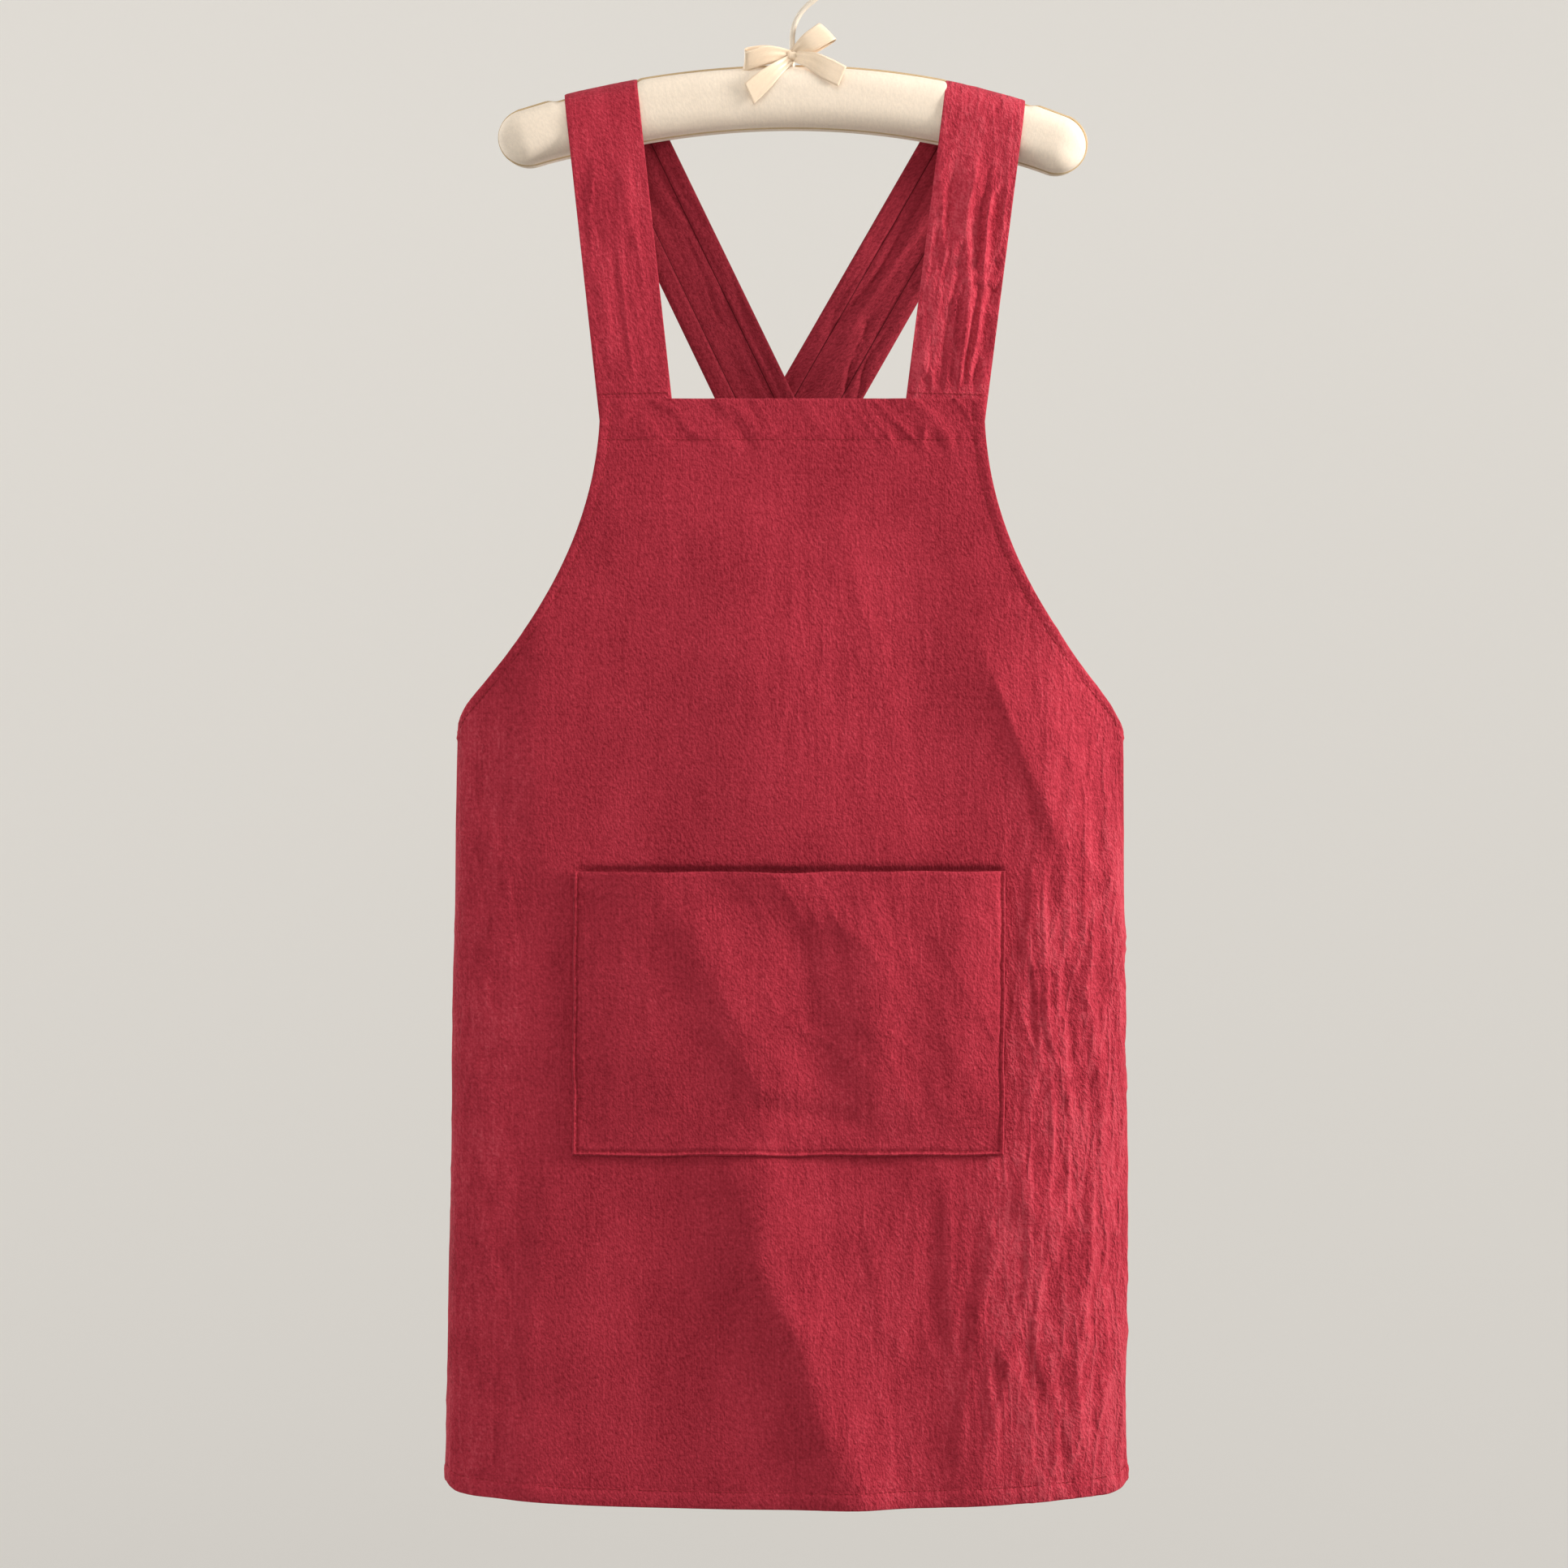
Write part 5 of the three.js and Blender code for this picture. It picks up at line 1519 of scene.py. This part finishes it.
def woven_material(look, name):
    """A woven cloth whose pattern follows the flat cloth's own measures, paler where it is worn, with
    painted highlight on its crests and painted shade between them.
    """
    finish = SimpleNamespace(**dict(zip(FINISH_COLUMNS, FINISHES[name])))
    crests, gaps = (
        [share * part for part in getattr(look, colour)] for colour, share in (finish.crests, finish.gaps)
    )
    # The palest colour: partly wear, partly painted highlight on the crests.
    worn_and_highlight = [min(1, 1.15 * part + 0.025) for part in crests]
    material, tree, shader = new_material(name)
    place = node_in(tree, "ShaderNodeUVMap", uv_map="cloth")
    woven = tree.nodes.new("ShaderNodeGroup")
    woven.node_tree = bpy.data.node_groups.get("woven_cloth") or weave_group()
    woven.inputs["Threads"].default_value = finish.threads
    woven.inputs["Grain"].default_value = finish.grain
    woven.inputs["Weave"].default_value = finish.weave
    tree.links.new(place.outputs[0], woven.inputs["Vector"])
    stops = zip(TONE_STOPS, (gaps, crests, worn_and_highlight))
    shade_between(tree, woven.outputs["Tone"], stops, shader.inputs["Base Color"])
    add_relief(tree, woven.outputs["Height"], 1, finish.relief * MM, shader)
    shader.inputs["Roughness"].default_value = finish.roughness
    shader.inputs["Specular IOR Level"].default_value = finish.gloss
    shader.inputs["Sheen Weight"].default_value = finish.sheen
    shader.inputs["Sheen Roughness"].default_value = 0.5
    shader.inputs["Sheen Tint"].default_value = (*[min(1, 0.4 + 1.3 * part) for part in crests], 1)
    if name == "red_crepe":
        crumple = node_in(tree, "ShaderNodeAttribute", attribute_name="crumple")
        tree.links.new(crumple.outputs["Fac"], woven.inputs["Crumple"])
    return material


def enamel_material(look):
    """The hook's cream enamel, slightly uneven."""
    material, tree, shader = new_material("ivory_enamel")
    place = tree.nodes.new("ShaderNodeTexCoord")
    texture = node_in(tree, "ShaderNodeTexNoise", Scale=260.0, Detail=3.0)
    tree.links.new(place.outputs["Object"], texture.inputs["Vector"])
    darker = [0.88 * part for part in look.ivory]
    shade_between(tree, texture.outputs["Fac"], ((0, darker), (1, look.ivory)), shader.inputs["Base Color"])
    add_relief(tree, texture.outputs["Fac"], 0.3, 0.1 * MM, shader)
    shader.inputs["Roughness"].default_value = 0.35
    return material


def paper_material(stage):
    """The pale floor and its sweep, painted a little lighter towards the top as a fall of light. It glows
    for the camera alone, so that its tone stays even and adds no light to the apron."""
    material, tree, shader = new_material("paper")
    shader.inputs["Base Color"].default_value = (0.45, 0.44, 0.42, 1)
    shader.inputs["Roughness"].default_value = 0.9
    shader.inputs["Specular IOR Level"].default_value = 0.1
    place = tree.nodes.new("ShaderNodeTexCoord")
    split = tree.nodes.new("ShaderNodeSeparateXYZ")
    tree.links.new(place.outputs["Object"], split.inputs[0])
    height = node_in(tree, "ShaderNodeMapRange", **{"From Min": -1.8, "From Max": 0.6})
    tree.links.new(split.outputs["Z"], height.inputs["Value"])
    glow = node_in(tree, "ShaderNodeEmission", Strength=0.8)
    # Painted shade: the glow darkens towards the floor.
    darker = [0.84 * part for part in stage.paper]
    shade_between(tree, height.outputs["Result"], ((0, darker), (1, stage.paper)), glow.inputs["Color"])
    both = tree.nodes.new("ShaderNodeAddShader")
    tree.links.new(shader.outputs[0], both.inputs[0])
    tree.links.new(glow.outputs[0], both.inputs[1])
    ray = tree.nodes.new("ShaderNodeLightPath")
    mix = tree.nodes.new("ShaderNodeMixShader")
    tree.links.new(ray.outputs["Is Camera Ray"], mix.inputs[0])
    tree.links.new(shader.outputs[0], mix.inputs[1])
    tree.links.new(both.outputs[0], mix.inputs[2])
    tree.links.new(mix.outputs[0], tree.nodes["Material Output"].inputs["Surface"])
    return material


def material_named(scene, name):
    """Each material is made when the first piece asks for it."""
    if name in bpy.data.materials:
        return bpy.data.materials[name]
    if name in FINISHES:
        return woven_material(scene.cloth_look, name)
    return enamel_material(scene.cloth_look)


# The pieces as operators


class APRON_OT_body(bpy.types.Operator):
    """Make the apron's body, the band behind its bib and their stitches"""

    bl_idname = "apron.body"
    bl_label = "Apron body"

    def execute(self, context):
        cut = cut_of(context.scene)
        cloth = material_named(context.scene, "red_crepe")
        make_body(cut, cloth)
        make_facing(cut, cloth)
        thread = material_named(context.scene, "red_thread")
        sew("body_stitches", body_seams(cut), 3.2 * MM, 0.3 * MM, thread)
        return {"FINISHED"}


class APRON_OT_pocket(bpy.types.Operator):
    """Make the front pocket and its stitches"""

    bl_idname = "apron.pocket"
    bl_label = "Pocket"

    def execute(self, context):
        cut = cut_of(context.scene)
        make_pocket(cut, material_named(context.scene, "red_crepe"))
        thread = material_named(context.scene, "red_thread")
        sew("pocket_stitches", pocket_seams(cut), 3 * MM, 0.55 * MM, thread)
        return {"FINISHED"}


class APRON_OT_straps(bpy.types.Operator):
    """Make both shoulder straps and their stitches"""

    bl_idname = "apron.straps"
    bl_label = "Shoulder straps"

    def execute(self, context):
        cut = cut_of(context.scene)
        thread = material_named(context.scene, "red_thread")
        faces = [material_named(context.scene, kind) for kind in ("red_crepe", "red_wrong_side", "red_fold")]
        for name in STRAPS:
            make_strap(cut, name, *faces)
            sew(name + "_stitches", strap_seams(cut, name), 3.2 * MM, 0.35 * MM, thread)
        return {"FINISHED"}


class APRON_OT_hanger(bpy.types.Operator):
    """Make the padded hanger with its piping and hook"""

    bl_idname = "apron.hanger"
    bl_label = "Padded hanger"

    def execute(self, context):
        cut = cut_of(context.scene)
        make_cushion(cut, material_named(context.scene, "cream_cotton"))
        make_piping(cut, material_named(context.scene, "tan_cord"))
        make_hook(cut, material_named(context.scene, "ivory_enamel"))
        return {"FINISHED"}


class APRON_OT_bow(bpy.types.Operator):
    """Make the ribbon bow at the foot of the hook"""

    bl_idname = "apron.bow"
    bl_label = "Ribbon bow"

    def execute(self, context):
        cut = cut_of(context.scene)
        hanger = cut.hanger
        satin = material_named(context.scene, "peach_satin")
        knot_front = hanger.wire / 2 + cut.gap + 0.25 * hanger.ribbon
        knot_drop = hanger.drop - cut.half_height - 0.3 * hanger.ribbon - cut.gap
        knot_at = np.array([0, -knot_front, -knot_drop])
        make_knot(cut, knot_at, satin)
        for name, stops in BOW.items():
            make_ribbon(cut, name, stops, knot_at, satin)
        return {"FINISHED"}


def make_sweep(stage):
    """A round floor whose rim sweeps up all round, so that every view has a pale ground."""
    deselect()
    tall, radius, rim_round = 4.2, 5.2, 1.6
    middle = (0, 0, -stage.floor_drop + tall / 2)
    bpy.ops.mesh.primitive_cylinder_add(
        vertices=96, radius=radius, depth=tall, location=middle, end_fill_type="NGON"
    )
    sweep = bpy.context.object
    sweep.name = "sweep"
    deselect_mesh("FACE")
    for face in sweep.data.polygons:
        face.select = face.normal.z > 0.9
    with edit_mode():
        bpy.ops.mesh.delete(type="FACE")
    deselect_mesh("EDGE")
    low = min(vertex.co.z for vertex in sweep.data.vertices)
    for edge in sweep.data.edges:
        edge.select = all(sweep.data.vertices[i].co.z < low + MM for i in edge.vertices)
    with edit_mode():
        bpy.ops.mesh.bevel(offset=rim_round, segments=14, affect="EDGES")
        bpy.ops.mesh.select_all(action="SELECT")
        bpy.ops.mesh.flip_normals()
    bpy.ops.object.shade_smooth()
    bpy.ops.object.transform_apply(location=True, rotation=True, scale=True)
    sweep.data.materials.append(paper_material(stage))


# The room's even light: its colour and its strength.
ROOM_LIGHT = ((1.0, 0.985, 0.965), 0.25)

# Each lamp: where it stands, what it looks at, its width and height, its power and its colour, and
# the angle that its light spreads to, in degrees.
LAMPS = {
    "key": ((2.35, -0.54, 0.22), (0.02, 0, -0.55), 0.5, 1.0, 84, (1.0, 0.97, 0.955), 180),
    "front": ((-0.3, -3.0, 0.5), (0, 0, -0.5), 1.6, 1.6, 17.6, (0.98, 0.985, 1.0), 180),
    "left": ((-2.2, -0.9, -0.3), (0, 0, -0.6), 0.8, 1.4, 15, (0.97, 0.98, 1.0), 180),
    "top": ((0.1, -0.8, 1.5), (0, 0, -0.1), 1.0, 1.0, 15, (1.0, 0.99, 0.97), 180),
    "back": ((-1.9, 1.5, 0.1), (0, 0, -0.5), 0.8, 1.2, 30, (1.0, 0.99, 0.97), 180),
    "hanger": ((-0.1, -1.7, -0.7), (-0.03, 0, -0.085), 0.5, 0.1, 0.024, (1.0, 0.985, 0.96), 14),
}


class APRON_OT_stage(bpy.types.Operator):
    """Set the pale floor, the soft lamps and the camera at the photo's angle"""

    bl_idname = "apron.stage"
    bl_label = "Stage"

    def execute(self, context):
        scene = context.scene
        stage = scene.stage_settings
        make_sweep(stage)
        for name, (place, aim, wide, tall, power, colour, spread) in LAMPS.items():
            lamp = bpy.data.lights.new(name, "AREA")
            lamp.shape = "RECTANGLE"
            lamp.size, lamp.size_y = wide, tall
            lamp.energy = power
            lamp.color = colour
            lamp.spread = math.radians(spread)
            stand = bpy.data.objects.new(name, lamp)
            stand.location = place
            stand.visible_camera = False
            stand.rotation_euler = (Vector(aim) - Vector(place)).to_track_quat("-Z", "Y").to_euler()
            scene.collection.objects.link(stand)
        world = bpy.data.worlds.new("soft_light")
        world.use_nodes = True
        ground = world.node_tree.nodes["Background"]
        colour, strength = ROOM_LIGHT
        ground.inputs["Color"].default_value = (*colour, 1)
        ground.inputs["Strength"].default_value = strength
        scene.world = world
        lens = bpy.data.cameras.new("camera")
        lens.sensor_width = 36
        lens.lens = lens.sensor_width * stage.camera_distance / stage.picture_width
        camera = bpy.data.objects.new("camera", lens)
        camera.location = (stage.view_across, -stage.camera_distance, -stage.view_drop)
        camera.rotation_euler = (math.pi / 2, 0, 0)
        scene.collection.objects.link(camera)
        scene.camera = camera
        scene.view_settings.view_transform = "Standard"
        return {"FINISHED"}


class APRON_PT_panel(bpy.types.Panel):
    """The apron's pieces and sizes, in the sidebar"""

    bl_idname = "APRON_PT_panel"
    bl_label = "Kitchen apron"
    bl_space_type = "VIEW_3D"
    bl_region_type = "UI"
    bl_category = "Apron"

    def draw(self, context):
        for operator in OPERATORS:
            self.layout.operator(operator.bl_idname)
        for group in ("apron_sizes", "hanger_sizes", "cloth_look", "stage_settings"):
            box = self.layout.box()
            settings = getattr(context.scene, group)
            for key in settings.__annotations__:
                box.prop(settings, key)


GROUPS = {
    "apron_sizes": ApronSizes,
    "hanger_sizes": HangerSizes,
    "cloth_look": ClothLook,
    "stage_settings": StageSettings,
}
OPERATORS = (APRON_OT_stage, APRON_OT_hanger, APRON_OT_bow, APRON_OT_straps, APRON_OT_body, APRON_OT_pocket)


def register():
    for kind in (*GROUPS.values(), *OPERATORS, APRON_PT_panel):
        bpy.utils.register_class(kind)
    for name, kind in GROUPS.items():
        setattr(bpy.types.Scene, name, PointerProperty(type=kind))


def unregister():
    for name in GROUPS:
        delattr(bpy.types.Scene, name)
    for kind in reversed((*GROUPS.values(), *OPERATORS, APRON_PT_panel)):
        bpy.utils.unregister_class(kind)


def main():
    register()
    bpy.ops.apron.stage()
    bpy.ops.apron.hanger()
    bpy.ops.apron.bow()
    bpy.ops.apron.straps()
    bpy.ops.apron.body()
    bpy.ops.apron.pocket()


if __name__ == "__main__":
    main()
